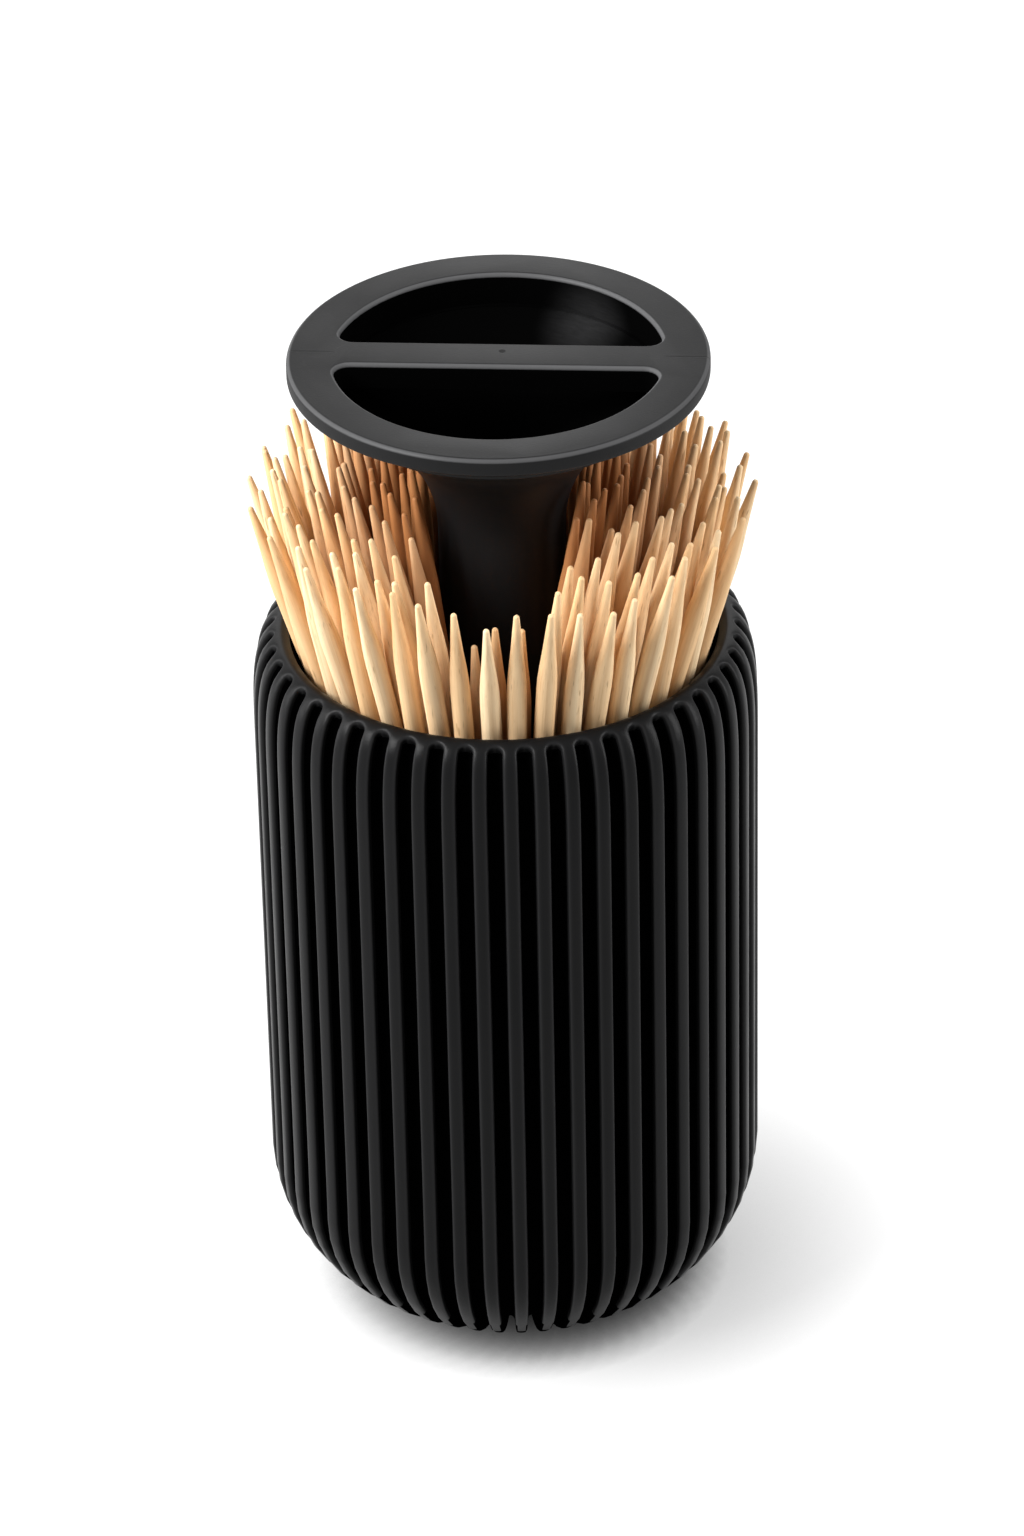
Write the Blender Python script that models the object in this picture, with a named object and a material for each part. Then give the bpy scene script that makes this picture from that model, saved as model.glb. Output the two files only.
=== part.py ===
"""Pull-up toothpick dispenser: a fluted cup, a lifter with a finger bar, and 48 toothpicks.

The lifter is shown raised, as in use: its tray has come up inside the cup, and the toothpicks
that stand on the tray lean outwards on the rounded lip. Pushed down, the lifter's disc drops
flush into the mouth and the toothpicks stand nearly upright inside the cup.
The origin is the centre of the underside, +Z is up and the finger bar lies along X.
Lengths are in metres and angles in degrees.
"""
import math
import random

import bmesh
import bpy
from mathutils import Matrix, Vector

# Clearances between pieces that touch on the real object
SEAT_GAP = 0.0003
RUN_GAP = 0.0003
MERGE_DISTANCE = 0.000001
CUT_OVERRUN = 0.001

# Cup: a thick moulded wall with ribs outside and a plain bore inside
CUP_RADIUS = 0.028
CUP_HEIGHT = 0.0866
WALL_THICKNESS = 0.0048
FLOOR_THICKNESS = 0.0022
SHOULDER_WIDTH = 0.0056
SHOULDER_HEIGHT = 0.01395
SHOULDER_POWER = 3.57
LIP_ROUND = 0.0016
LIP_DROP = 0.0026

# Ribs and flutes round the cup
RIB_COUNT = 51
RIB_LAND = 0.00136
FLUTE_DEPTH = 0.002
LIP_BAND = 0.0004
FIRST_RIB_ANGLE = -0.44
FLUTE_ACROSS_SHARES = ((-1.0, 0.0), (-0.58, 1.0), (0.58, 1.0), (1.0, 0.0))
BASE_ANGLES = (4.0, 18.0, 36.0, 54.0, 72.0, 90.0)
BASE_DEPTH_SHARES = (0.0, 0.8, 1.0, 1.0, 1.0, 1.0)
SHOULDER_ANGLES = (0.0, 30.0, 48.0, 60.0)
ARCH_SHARES = ((0.55, 0.78, 0.72), (1.0, 0.26, 0.0))

# Foot pad in the recess under the cup
PAD_RADIUS = 0.0086
PAD_PROUD = 0.0004
PAD_THICKNESS = 0.0011
PAD_BORDER = 0.0014

# Lifter: disc with a finger bar, funnel and hollow stem in one moulding
LIFTER_HEIGHT = 0.12
DISC_GAP = 0.00033
RIM_THICKNESS = 0.0021
RIM_ROUND = 0.0006
PLATE_THICKNESS = 0.003
DISC_BORDER = 0.00484
OPENING_CORNER = 0.0017
OPENING_EDGE = 0.0005
BAR_WIDTH = 0.005
FUNNEL_WALL = 0.0014
FUNNEL_SHOULDER = 0.0008
FLARE_RADIUS = 0.0155
FLARE_ANGLE = 55.0
NECK_DEPTH = 0.0045
STEM_TOP_RADIUS = 0.007
STEM_END_RADIUS = 0.00685
STEM_WALL = 0.0014
WEB_THICKNESS = 0.002
BOSS_RADIUS = 0.003
BOSS_HEIGHT = 0.0047

# Tray that carries the toothpicks, on the end of the stem
TRAY_GAP = 0.0006
HUB_HEIGHT = 0.0037
TRAY_WALL = 0.0016
SPIGOT_HEIGHT = 0.003
DISH_START = 0.0074
DISH_RISE = 0.0056
RIM_WIDTH = 0.002
RIM_HEIGHT = 0.0038
RIM_TAPER = 0.0016
TRAY_EDGE = 0.0007
HUB_RADIUS = 0.0066
GROOVE_DEPTH = 0.0013
STOP_BEAD_DEPTH = 0.0009
STOP_BEAD_HEIGHT = 0.0006

# Friction ring in the tray's groove
RING_HEIGHT = 0.0016
RING_ROUND = 0.0004

# Screw that holds the tray to the stem
SCREW_RADIUS = 0.0012
SCREW_LENGTH = 0.0108
SCREW_POINT = 0.001
HEAD_RADIUS = 0.0026
HEAD_HEIGHT = 0.0017
HEAD_ROUND = 0.0005

# Toothpicks: two rings of feet on the tray, alternating round the lip
PICK_COUNT = 48
PICK_LENGTH = 0.065
PICK_RADIUS = 0.00112
PICK_TIP_RADIUS = 0.00025
PICK_TAPER = 0.0105
PICK_SIDES = 7
TAPER_SHARES = ((0.0, 0.0), (0.7, 0.77), (1.0, 1.0))
FOOT_ROOM = 0.00103
FOOT_STEP = 0.0036
PICK_WANDER = 0.35
PICK_SEED = 12

# Sides of turned pieces and of rounded outlines
TURN_STEPS = 40
INNER_STEPS = 32
SCREW_STEPS = 12
ARC_STEPS = 14
CORNER_STEPS = 4
EDGE_STEPS = 3

# Sizes that follow from the ones above
CUP_BASE = PAD_PROUD
RECESS_RADIUS = PAD_RADIUS + RUN_GAP
RECESS_TOP = PAD_THICKNESS + SEAT_GAP
CUP_FLOOR = RECESS_TOP + FLOOR_THICKNESS
BASE_FILLET = CUP_RADIUS - PAD_RADIUS - PAD_BORDER
BORE_RADIUS = CUP_RADIUS - WALL_THICKNESS
LIP_RADIUS = BORE_RADIUS + LIP_ROUND
FLUTE_TOP_RADIUS = LIP_RADIUS + LIP_BAND
FILLET_CENTRE = Vector((CUP_RADIUS - BASE_FILLET, CUP_BASE + BASE_FILLET))
SHOULDER_CENTRE = Vector((CUP_RADIUS - SHOULDER_WIDTH, CUP_HEIGHT - SHOULDER_HEIGHT))
DISC_RADIUS = BORE_RADIUS - DISC_GAP
OPENING_RADIUS = DISC_RADIUS - DISC_BORDER
LIFT_TRAVEL = LIFTER_HEIGHT - CUP_HEIGHT
HUB_BOTTOM = CUP_FLOOR + LIFT_TRAVEL + SEAT_GAP
TRAY_FLOOR = HUB_BOTTOM + HUB_HEIGHT
STEM_BORE = STEM_END_RADIUS - STEM_WALL
STEM_END = TRAY_FLOOR + SEAT_GAP
SPIGOT_RADIUS = STEM_BORE - RUN_GAP
SPIGOT_TOP = TRAY_FLOOR + SPIGOT_HEIGHT
WEB_BOTTOM = SPIGOT_TOP + SEAT_GAP
WEB_TOP = WEB_BOTTOM + WEB_THICKNESS
HOLE_RADIUS = SCREW_RADIUS + RUN_GAP
TRAY_RADIUS = BORE_RADIUS - TRAY_GAP
DISH_END = TRAY_RADIUS - RIM_WIDTH
TRAY_RIM_TOP = TRAY_FLOOR + DISH_RISE + RIM_WIDTH
TRAY_RIM_BOTTOM = TRAY_RIM_TOP - RIM_HEIGHT
GROOVE_HEIGHT = RING_HEIGHT + SEAT_GAP + SEAT_GAP
GROOVE_BOTTOM = TRAY_RIM_BOTTOM + (RIM_HEIGHT - GROOVE_HEIGHT) / 2
GROOVE_RADIUS = TRAY_RADIUS - GROOVE_DEPTH
STOP_BEAD_BOTTOM = TRAY_RIM_TOP + SEAT_GAP
HEAD_SEAT = HUB_BOTTOM + SEAT_GAP + HEAD_HEIGHT
COUNTERBORE_TOP = HEAD_SEAT + SEAT_GAP
COUNTERBORE_RADIUS = HEAD_RADIUS + RUN_GAP
INNER_FOOT_RADIUS = STEM_END_RADIUS + PICK_RADIUS + FOOT_ROOM
OUTER_FOOT_RADIUS = INNER_FOOT_RADIUS + FOOT_STEP


def material(name, colour, roughness, metallic):
    """A Principled material, linear colour."""
    made = bpy.data.materials.new(name)
    made.use_nodes = True
    shader = made.node_tree.nodes["Principled BSDF"]
    shader.inputs["Base Color"].default_value = (*colour, 1.0)
    shader.inputs["Roughness"].default_value = roughness
    shader.inputs["Metallic"].default_value = metallic
    made.diffuse_color = (*colour, 1.0)
    return made


def put_in_scene(name, bm, finish, smooth_angle=35.0):
    """Turn a bmesh into a named object with its material, shaded smooth up to an angle."""
    bmesh.ops.recalc_face_normals(bm, faces=bm.faces)
    mesh = bpy.data.meshes.new(name)
    bm.to_mesh(mesh)
    bm.free()
    mesh.materials.append(finish)
    mesh.shade_smooth()
    mesh.set_sharp_from_angle(angle=math.radians(smooth_angle))
    piece = bpy.data.objects.new(name, mesh)
    bpy.context.scene.collection.objects.link(piece)
    return piece


def turned(profile, steps=TURN_STEPS, closed=True):
    """Spin an (r, z) outline about Z. An outline that starts and ends on the axis isn't closed."""
    bm = bmesh.new()
    verts = [bm.verts.new((r, 0.0, z)) for r, z in profile]
    edges = [bm.edges.new(pair) for pair in zip(verts, verts[1:])]
    if closed:
        edges.append(bm.edges.new((verts[-1], verts[0])))
    bmesh.ops.spin(bm, geom=verts + edges, cent=(0, 0, 0), axis=(0, 0, 1),
                   angle=math.tau, steps=steps, use_merge=True)
    bmesh.ops.remove_doubles(bm, verts=bm.verts, dist=MERGE_DISTANCE)
    return bm


def arc(centre, radius, start, end, steps, squash=1.0):
    """Points of an (r, z) arc from one angle to another; squash scales it upwards."""
    points = []
    for step in range(steps + 1):
        angle = math.radians(start + (end - start) * step / steps)
        points.append((centre[0] + radius * math.cos(angle),
                       centre[1] + radius * squash * math.sin(angle)))
    return points


def superellipse(angle):
    """Point of the shoulder's outline over the crests, 0 at its foot and 90 at the lip."""
    turn = math.radians(angle)
    power = 2 / SHOULDER_POWER
    return Vector((SHOULDER_CENTRE.x + SHOULDER_WIDTH * math.cos(turn) ** power,
                   SHOULDER_CENTRE.y + SHOULDER_HEIGHT * math.sin(turn) ** power))


def shoulder_angle_at(radius):
    """The shoulder's angle where its outline has shrunk to a radius."""
    share = (radius - SHOULDER_CENTRE.x) / SHOULDER_WIDTH
    return math.degrees(math.acos(share ** (SHOULDER_POWER / 2)))


def shoulder_normal(angle):
    """Outward normal of the shoulder's outline."""
    turn = math.radians(angle)
    power = 2 - 2 / SHOULDER_POWER
    across = math.cos(turn) ** power / SHOULDER_WIDTH
    along = math.sin(turn) ** power / SHOULDER_HEIGHT
    return Vector((across, along)).normalized()


def fluted_levels():
    """Rings of the outer wall from the base to the lip: crest point, normal, width and depth."""
    levels = []
    for angle, depth in zip(BASE_ANGLES, BASE_DEPTH_SHARES):
        turn = math.radians(angle)
        normal = Vector((math.sin(turn), -math.cos(turn)))
        levels.append((FILLET_CENTRE + normal * BASE_FILLET, normal, 1.0, depth))
    for angle in SHOULDER_ANGLES:
        levels.append((superellipse(angle), shoulder_normal(angle), 1.0, 1.0))
    start = SHOULDER_ANGLES[-1]
    end = shoulder_angle_at(FLUTE_TOP_RADIUS)
    for along, width, depth in ARCH_SHARES:
        angle = start + (end - start) * along
        levels.append((superellipse(angle), shoulder_normal(angle), width, depth))
    return levels


def ring(bm, radius, height, count, start_angle):
    """A ring of vertices at even angles."""
    angles = [math.radians(start_angle) + math.tau * step / count for step in range(count)]
    return [bm.verts.new((radius * math.cos(a), radius * math.sin(a), height)) for a in angles]


def fluted_ring(bm, point, normal, width, depth):
    """One ring across every flute: the crest's edges lie on the outline, the rest sinks."""
    pitch = math.tau / RIB_COUNT
    half_flute = (pitch - RIB_LAND / CUP_RADIUS) / 2
    first = math.radians(FIRST_RIB_ANGLE) + pitch / 2
    verts = []
    for rib in range(RIB_COUNT):
        for across, sink in FLUTE_ACROSS_SHARES:
            angle = first + pitch * rib + half_flute * width * across
            spot = point - normal * (FLUTE_DEPTH * depth * sink)
            verts.append(bm.verts.new((spot.x * math.cos(angle), spot.x * math.sin(angle), spot.y)))
    return verts


def skin(bm, lower, upper):
    """Faces between two rings with the same number of points."""
    count = len(lower)
    for step in range(count):
        after = (step + 1) % count
        bm.faces.new((lower[step], lower[after], upper[after], upper[step]))


def gather(bm, many, few):
    """Faces between a ring of several points a rib and a ring of one point a rib."""
    per_rib = len(many) // len(few)
    for rib, hub in enumerate(few):
        first = rib * per_rib
        for step in range(per_rib - 1):
            bm.faces.new((many[first + step], many[first + step + 1], hub))
        last = many[first + per_rib - 1]
        after = many[(first + per_rib) % len(many)]
        next_hub = few[(rib + 1) % len(few)]
        bm.faces.new((last, after, hub))
        bm.faces.new((after, next_hub, hub))


def bore_profile():
    """The cup's inside from the lip down to the floor, over the stop bead."""
    lip_top = superellipse(shoulder_angle_at(LIP_RADIUS)).y
    lip_depth = LIP_RADIUS - BORE_RADIUS
    points = arc((LIP_RADIUS, lip_top - LIP_DROP), lip_depth, 90, 180, 4, LIP_DROP / lip_depth)
    bead_radius = BORE_RADIUS - STOP_BEAD_DEPTH
    bead_top = STOP_BEAD_BOTTOM + STOP_BEAD_HEIGHT
    points += [(BORE_RADIUS, bead_top + STOP_BEAD_DEPTH), (bead_radius, bead_top)]
    points += [(bead_radius, STOP_BEAD_BOTTOM), (BORE_RADIUS, STOP_BEAD_BOTTOM)]
    inner_fillet = FILLET_CENTRE.y - CUP_FLOOR
    start = -math.degrees(math.acos((BORE_RADIUS - FILLET_CENTRE.x) / inner_fillet))
    points += arc(FILLET_CENTRE, inner_fillet, start, -90, 4)
    return points


def build_cup(finish):
    bm = bmesh.new()
    rings = [fluted_ring(bm, *level) for level in fluted_levels()]
    for lower, upper in zip(rings, rings[1:]):
        skin(bm, lower, upper)
    flute_angle = FIRST_RIB_ANGLE + 180 / RIB_COUNT
    inside = [ring(bm, r, z, RIB_COUNT, flute_angle) for r, z in bore_profile()]
    gather(bm, rings[-1], inside[0])
    for upper, lower in zip(inside, inside[1:]):
        skin(bm, lower, upper)
    bm.faces.new(inside[-1])
    edge = FILLET_CENTRE.x
    under = [(edge, CUP_BASE), (RECESS_RADIUS, CUP_BASE), (RECESS_RADIUS, RECESS_TOP)]
    outside = [ring(bm, r, z, RIB_COUNT, flute_angle) for r, z in under]
    gather(bm, rings[0], outside[0])
    for upper, lower in zip(outside, outside[1:]):
        skin(bm, lower, upper)
    bm.faces.new(outside[-1])
    return put_in_scene("cup", bm, finish, 28.0)


def build_foot_pad(finish):
    profile = [(0.0, 0.0), (PAD_RADIUS - PAD_PROUD, 0.0), (PAD_RADIUS, PAD_PROUD)]
    profile += [(PAD_RADIUS, PAD_THICKNESS), (0.0, PAD_THICKNESS)]
    return put_in_scene("foot_pad", turned(profile, INNER_STEPS, closed=False), finish)


def lifter_profile():
    """The lifter's outline before its finger openings: outside first, then the hollow."""
    top = LIFTER_HEIGHT
    rim = DISC_RADIUS - RIM_ROUND
    outside = [(0.0, top)]
    outside += arc((rim, top - RIM_ROUND), RIM_ROUND, 90, 0, 2)
    outside += [(DISC_RADIUS, top - RIM_THICKNESS + RIM_ROUND / 2)]
    outside += [(DISC_RADIUS - RIM_ROUND / 2, top - RIM_THICKNESS)]
    turn = math.radians(FLARE_ANGLE)
    slope = math.cos(turn) / math.sin(turn)
    reach = Vector((-math.cos(turn), math.sin(turn)))
    neck = Vector((OPENING_RADIUS + FUNNEL_WALL - FUNNEL_SHOULDER / 2, top - NECK_DEPTH))
    flare_radius = STEM_TOP_RADIUS + FLARE_RADIUS
    rise = (neck.x - flare_radius - reach.x * FLARE_RADIUS) * slope
    flare = Vector((flare_radius, neck.y - rise - reach.y * FLARE_RADIUS))
    outside += [(neck.x + FUNNEL_SHOULDER, top - RIM_THICKNESS), neck]
    outside += arc(flare, FLARE_RADIUS, 180 - FLARE_ANGLE, 180, 4)
    outside += [(STEM_END_RADIUS, STEM_END)]
    hollow = [(STEM_BORE, STEM_END), (STEM_BORE, WEB_BOTTOM), (HOLE_RADIUS, WEB_BOTTOM)]
    hollow += [(HOLE_RADIUS, WEB_TOP + BOSS_HEIGHT), (BOSS_RADIUS, WEB_TOP + BOSS_HEIGHT)]
    hollow += [(BOSS_RADIUS, WEB_TOP), (STEM_BORE, WEB_TOP)]
    hollow += arc(flare, FLARE_RADIUS + FUNNEL_WALL, 180, 180 - FLARE_ANGLE, 4)
    inner_top = flare + reach * (FLARE_RADIUS + FUNNEL_WALL)
    cavity_radius = OPENING_RADIUS - OPENING_EDGE
    ledge = inner_top.y + (cavity_radius - inner_top.x) * slope
    hollow += [(cavity_radius, ledge), (cavity_radius, top - PLATE_THICKNESS)]
    hollow += [(0.0, top - PLATE_THICKNESS)]
    return outside + hollow, ledge


def opening_outline(spread):
    """A D-shaped finger opening beside the bar, spread outwards by a distance."""
    corner_y = BAR_WIDTH / 2 + OPENING_CORNER
    corner_x = math.sqrt((OPENING_RADIUS - OPENING_CORNER) ** 2 - corner_y ** 2)
    meet = math.degrees(math.atan2(corner_y, corner_x))
    round_radius = OPENING_CORNER + spread
    points = arc((corner_x, corner_y), round_radius, -90, meet, CORNER_STEPS)
    points += arc((0, 0), OPENING_RADIUS + spread, meet, 180 - meet, ARC_STEPS)[1:-1]
    points += arc((-corner_x, corner_y), round_radius, 180 - meet, 270, CORNER_STEPS)
    return points


def opening_cutter(name, side, bottom):
    """Cutter for one finger opening, flared at the top to round the edge."""
    bm = bmesh.new()
    top = LIFTER_HEIGHT
    levels = [(0.0, bottom)]
    for step in range(EDGE_STEPS + 1):
        turn = math.radians(90 * step / EDGE_STEPS)
        levels.append((OPENING_EDGE * (1 - math.cos(turn)), top - OPENING_EDGE * (1 - math.sin(turn))))
    levels.append((OPENING_EDGE, top + CUT_OVERRUN))
    loops = []
    for spread, height in levels:
        loops.append([bm.verts.new((x, side * y, height)) for x, y in opening_outline(spread)])
    for lower, upper in zip(loops, loops[1:]):
        skin(bm, lower, upper)
    bm.faces.new(loops[0])
    bm.faces.new(loops[-1])
    cutter = put_in_scene(name, bm, bpy.data.materials["black_plastic"])
    cutter.hide_render = True
    cutter.display_type = "WIRE"
    return cutter


def build_lifter(finish):
    profile, ledge = lifter_profile()
    lifter = put_in_scene("lifter", turned(profile, closed=False), finish)
    cut_bottom = ledge + FUNNEL_SHOULDER / 8
    for name, side in (("front_opening_cutter", -1), ("back_opening_cutter", 1)):
        cutter = opening_cutter(name, side, cut_bottom)
        cut = lifter.modifiers.new(name, "BOOLEAN")
        cut.operation = "DIFFERENCE"
        cut.object = cutter
    return lifter


def dish_height(radius):
    """Height of the tray's dished floor at a radius."""
    share = max(0.0, (radius - DISH_START) / (DISH_END - DISH_START))
    return TRAY_FLOOR + DISH_RISE * share ** 2


def build_pick_tray(finish):
    steps = 3
    radii = [DISH_START + (DISH_END - DISH_START) * step / steps for step in range(steps + 1)]
    profile = [(HOLE_RADIUS, SPIGOT_TOP), (SPIGOT_RADIUS, SPIGOT_TOP), (SPIGOT_RADIUS, TRAY_FLOOR)]
    profile += [(r, dish_height(r)) for r in radii]
    profile += [(DISH_END, TRAY_RIM_TOP), (TRAY_RADIUS - TRAY_EDGE, TRAY_RIM_TOP)]
    profile += [(TRAY_RADIUS, TRAY_RIM_TOP - TRAY_EDGE / 2)]
    profile += [(TRAY_RADIUS, GROOVE_BOTTOM + GROOVE_HEIGHT)]
    profile += [(GROOVE_RADIUS, GROOVE_BOTTOM + GROOVE_HEIGHT)]
    profile += [(GROOVE_RADIUS, GROOVE_BOTTOM), (TRAY_RADIUS, GROOVE_BOTTOM)]
    profile += [(TRAY_RADIUS, TRAY_RIM_BOTTOM), (TRAY_RADIUS - RIM_TAPER, TRAY_RIM_BOTTOM - TRAY_EDGE)]
    profile += [(r, dish_height(r) - TRAY_WALL) for r in reversed(radii[:-1])]
    profile += [(HUB_RADIUS, HUB_BOTTOM), (COUNTERBORE_RADIUS, HUB_BOTTOM)]
    profile += [(COUNTERBORE_RADIUS, COUNTERBORE_TOP), (HOLE_RADIUS, COUNTERBORE_TOP)]
    return put_in_scene("pick_tray", turned(profile, INNER_STEPS), finish)


def build_friction_ring(finish):
    inner = GROOVE_RADIUS + SEAT_GAP
    outer = BORE_RADIUS - SEAT_GAP
    bottom = GROOVE_BOTTOM + SEAT_GAP
    top = bottom + RING_HEIGHT
    profile = [(inner, bottom), (inner, top), (outer - RING_ROUND, top), (outer, top - RING_ROUND)]
    profile += [(outer, bottom + RING_ROUND), (outer - RING_ROUND, bottom)]
    return put_in_scene("friction_ring", turned(profile, INNER_STEPS), finish)


def build_tray_screw(finish):
    bottom = HEAD_SEAT - HEAD_HEIGHT
    end = HEAD_SEAT + SCREW_LENGTH
    profile = [(0.0, bottom), (HEAD_RADIUS - HEAD_ROUND, bottom), (HEAD_RADIUS, bottom + HEAD_ROUND)]
    profile += [(HEAD_RADIUS, HEAD_SEAT), (SCREW_RADIUS, HEAD_SEAT)]
    profile += [(SCREW_RADIUS, end - SCREW_POINT), (0.0, end)]
    return put_in_scene("tray_screw", turned(profile, SCREW_STEPS, closed=False), finish)


def pick_mesh():
    """A round toothpick standing on the origin, pointed at both ends with blunt tips."""
    swell = PICK_RADIUS - PICK_TIP_RADIUS
    foot = [(PICK_TIP_RADIUS + swell * out, PICK_TAPER * along) for along, out in TAPER_SHARES]
    tip = [(radius, PICK_LENGTH - height) for radius, height in reversed(foot)]
    profile = [(0.0, 0.0)] + foot + tip + [(0.0, PICK_LENGTH)]
    return turned(profile, steps=PICK_SIDES, closed=False)


def resting_lean(foot_radius, foot_height):
    """Lean from upright at which a toothpick's side rests on the rounded lip."""
    lip_top = superellipse(shoulder_angle_at(LIP_RADIUS)).y
    lip = Vector((LIP_RADIUS, lip_top - LIP_DROP))
    across = LIP_RADIUS - BORE_RADIUS
    foot = Vector((foot_radius, foot_height))
    low, high = 0.0, 45.0
    for _ in range(50):
        lean = (low + high) / 2
        turn = math.radians(lean)
        side = Vector((math.cos(turn), -math.sin(turn)))
        reach = math.hypot(across * math.cos(turn), LIP_DROP * math.sin(turn))
        room = side.dot(lip - foot) - reach - PICK_RADIUS - SEAT_GAP
        if room > 0:
            low = lean
        else:
            high = lean
    return low


def build_toothpicks(finish, carrier):
    """Toothpicks round the lip, each with its origin at its foot, where it tips."""
    chance = random.Random(PICK_SEED)
    template = put_in_scene("toothpick_01", pick_mesh(), finish, 50.0)
    feet = (INNER_FOOT_RADIUS, OUTER_FOOT_RADIUS)
    for number in range(PICK_COUNT):
        name = f"toothpick_{number + 1:02d}"
        pick = template if number == 0 else bpy.data.objects.new(name, template.data)
        if number:
            bpy.context.scene.collection.objects.link(pick)
        foot_radius = feet[number % 2]
        foot_height = dish_height(foot_radius) + SEAT_GAP
        wander = chance.uniform(-PICK_WANDER, PICK_WANDER)
        azimuth = math.radians(360 / PICK_COUNT * number + wander)
        lean = math.radians(resting_lean(foot_radius, foot_height))
        pick.parent = carrier
        place = Matrix.Translation((foot_radius * math.cos(azimuth), foot_radius * math.sin(azimuth),
                                    foot_height))
        turn = Matrix.Rotation(azimuth, 4, "Z") @ Matrix.Rotation(lean, 4, "Y")
        pick.matrix_world = place @ turn


def main():
    for old in list(bpy.data.objects):
        bpy.data.objects.remove(old, do_unlink=True)
    black = material("black_plastic", (0.022, 0.022, 0.023), 0.5, 0.0)
    soft_black = material("black_silicone", (0.03, 0.03, 0.03), 0.75, 0.0)
    grey = material("inner_plastic", (0.05, 0.05, 0.052), 0.55, 0.0)
    steel = material("zinc_steel", (0.55, 0.55, 0.56), 0.35, 1.0)
    wood = material("birch", (0.78, 0.58, 0.36), 0.6, 0.0)
    build_cup(black)
    build_foot_pad(soft_black)
    friction_ring = build_friction_ring(soft_black)
    lifter = build_lifter(black)
    lifter.parent = friction_ring
    for piece in (build_pick_tray(grey), build_tray_screw(steel)):
        piece.parent = lifter
    build_toothpicks(wood, lifter)


main()
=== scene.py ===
# %% [markdown]
# # A pull-up toothpick holder
#
# The real object is a ribbed black cup. A lifter with a flat disc, a finger bar and a hollow stem
# slides in it, and carries the toothpicks up on a tray until they fan out over the lip.
# The frame below holds the finished construction, so nothing here changes a size: each step
# models one piece again with the detail that the eye looks for, in the place the frame gives it.
# Lengths are in metres and +Z is up. The finger bar lies along X.

# %% Load the frame
import math
import random

import bmesh
import bpy
import numpy as np
from mathutils import Matrix, Vector


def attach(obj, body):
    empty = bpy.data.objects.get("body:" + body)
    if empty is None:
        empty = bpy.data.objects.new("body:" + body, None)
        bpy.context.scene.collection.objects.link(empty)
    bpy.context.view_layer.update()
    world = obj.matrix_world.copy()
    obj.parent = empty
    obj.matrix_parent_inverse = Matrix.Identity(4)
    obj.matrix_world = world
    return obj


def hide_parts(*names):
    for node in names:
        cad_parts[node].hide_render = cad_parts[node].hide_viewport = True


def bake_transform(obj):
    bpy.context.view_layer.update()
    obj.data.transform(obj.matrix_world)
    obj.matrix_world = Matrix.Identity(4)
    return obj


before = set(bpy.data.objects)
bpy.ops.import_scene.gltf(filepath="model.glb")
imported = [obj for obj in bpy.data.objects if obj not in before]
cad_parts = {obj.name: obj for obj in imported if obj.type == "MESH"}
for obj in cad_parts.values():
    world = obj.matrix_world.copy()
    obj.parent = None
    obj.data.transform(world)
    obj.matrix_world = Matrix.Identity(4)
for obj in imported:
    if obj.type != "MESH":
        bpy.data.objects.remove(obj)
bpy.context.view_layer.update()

# %% [markdown]
# ## Drawing and turning
#
# Every plastic piece here is round, so it is made like a pot on a wheel: a single point is
# extruded from corner to corner of half a cross-section, and the outline is spun round Z.
# A cylinder primitive would need a loop cut for each step of the outline, and loop cuts need a
# window. The drawn outline keeps each corner where the list says, which makes it easy to compare
# with the real piece.

# %% Small helpers for selecting and editing
SEED_SIZE = 0.0001
MERGE_DISTANCE = 0.000001


def deselect_everything():
    """The frame arrives selected, and an operator works on all that is selected."""
    if bpy.context.object and bpy.context.object.mode != "OBJECT":
        bpy.ops.object.mode_set(mode="OBJECT")
    bpy.ops.object.select_all(action="DESELECT")


def choose(piece):
    """Make one piece the only selected one, and the active one."""
    deselect_everything()
    piece.select_set(True)
    bpy.context.view_layer.objects.active = piece


def edit(piece):
    """Enter edit mode on one piece alone."""
    choose(piece)
    bpy.ops.object.mode_set(mode="EDIT")
    bpy.ops.mesh.select_mode(type="VERT")


def leave_edit():
    bpy.ops.object.mode_set(mode="OBJECT")


def select_all():
    bpy.ops.mesh.select_all(action="SELECT")


def select_faces(piece, wanted):
    """In edit mode, select only the faces whose centre and normal pass a test."""
    bpy.ops.mesh.select_all(action="DESELECT")
    bpy.ops.mesh.select_mode(type="FACE")
    shape = bmesh.from_edit_mesh(piece.data)
    for face in shape.faces:
        face.select_set(wanted(face.calc_center_median(), face.normal))
    bmesh.update_edit_mesh(piece.data)


# %% Draw an outline with a pen, point by point
def extrude(step):
    bpy.ops.mesh.extrude_region_move(TRANSFORM_OT_translate={"value": step})


def draw_outline(name, points, closed):
    """Extrude one vertex along a list of 3D points. The piece stays in edit mode."""
    deselect_everything()
    bpy.ops.mesh.primitive_plane_add(size=SEED_SIZE, location=points[0])
    piece = bpy.context.object
    piece.name = name
    piece.data.name = name
    bpy.ops.object.transform_apply(location=True, rotation=True, scale=True)
    edit(piece)
    select_all()
    bpy.ops.mesh.merge(type="CENTER")
    for here, there in zip(points, points[1:]):
        extrude([b - a for a, b in zip(here, there)])
    if closed:
        shape = bmesh.from_edit_mesh(piece.data)
        for vertex in shape.verts:
            vertex.select_set(len(vertex.link_edges) < 2)
        bmesh.update_edit_mesh(piece.data)
        bpy.ops.mesh.edge_face_add()
    return piece


def side_view(points):
    """(radius, height) pairs as points of the XZ plane."""
    return [(radius, 0.0, height) for radius, height in points]


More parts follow.
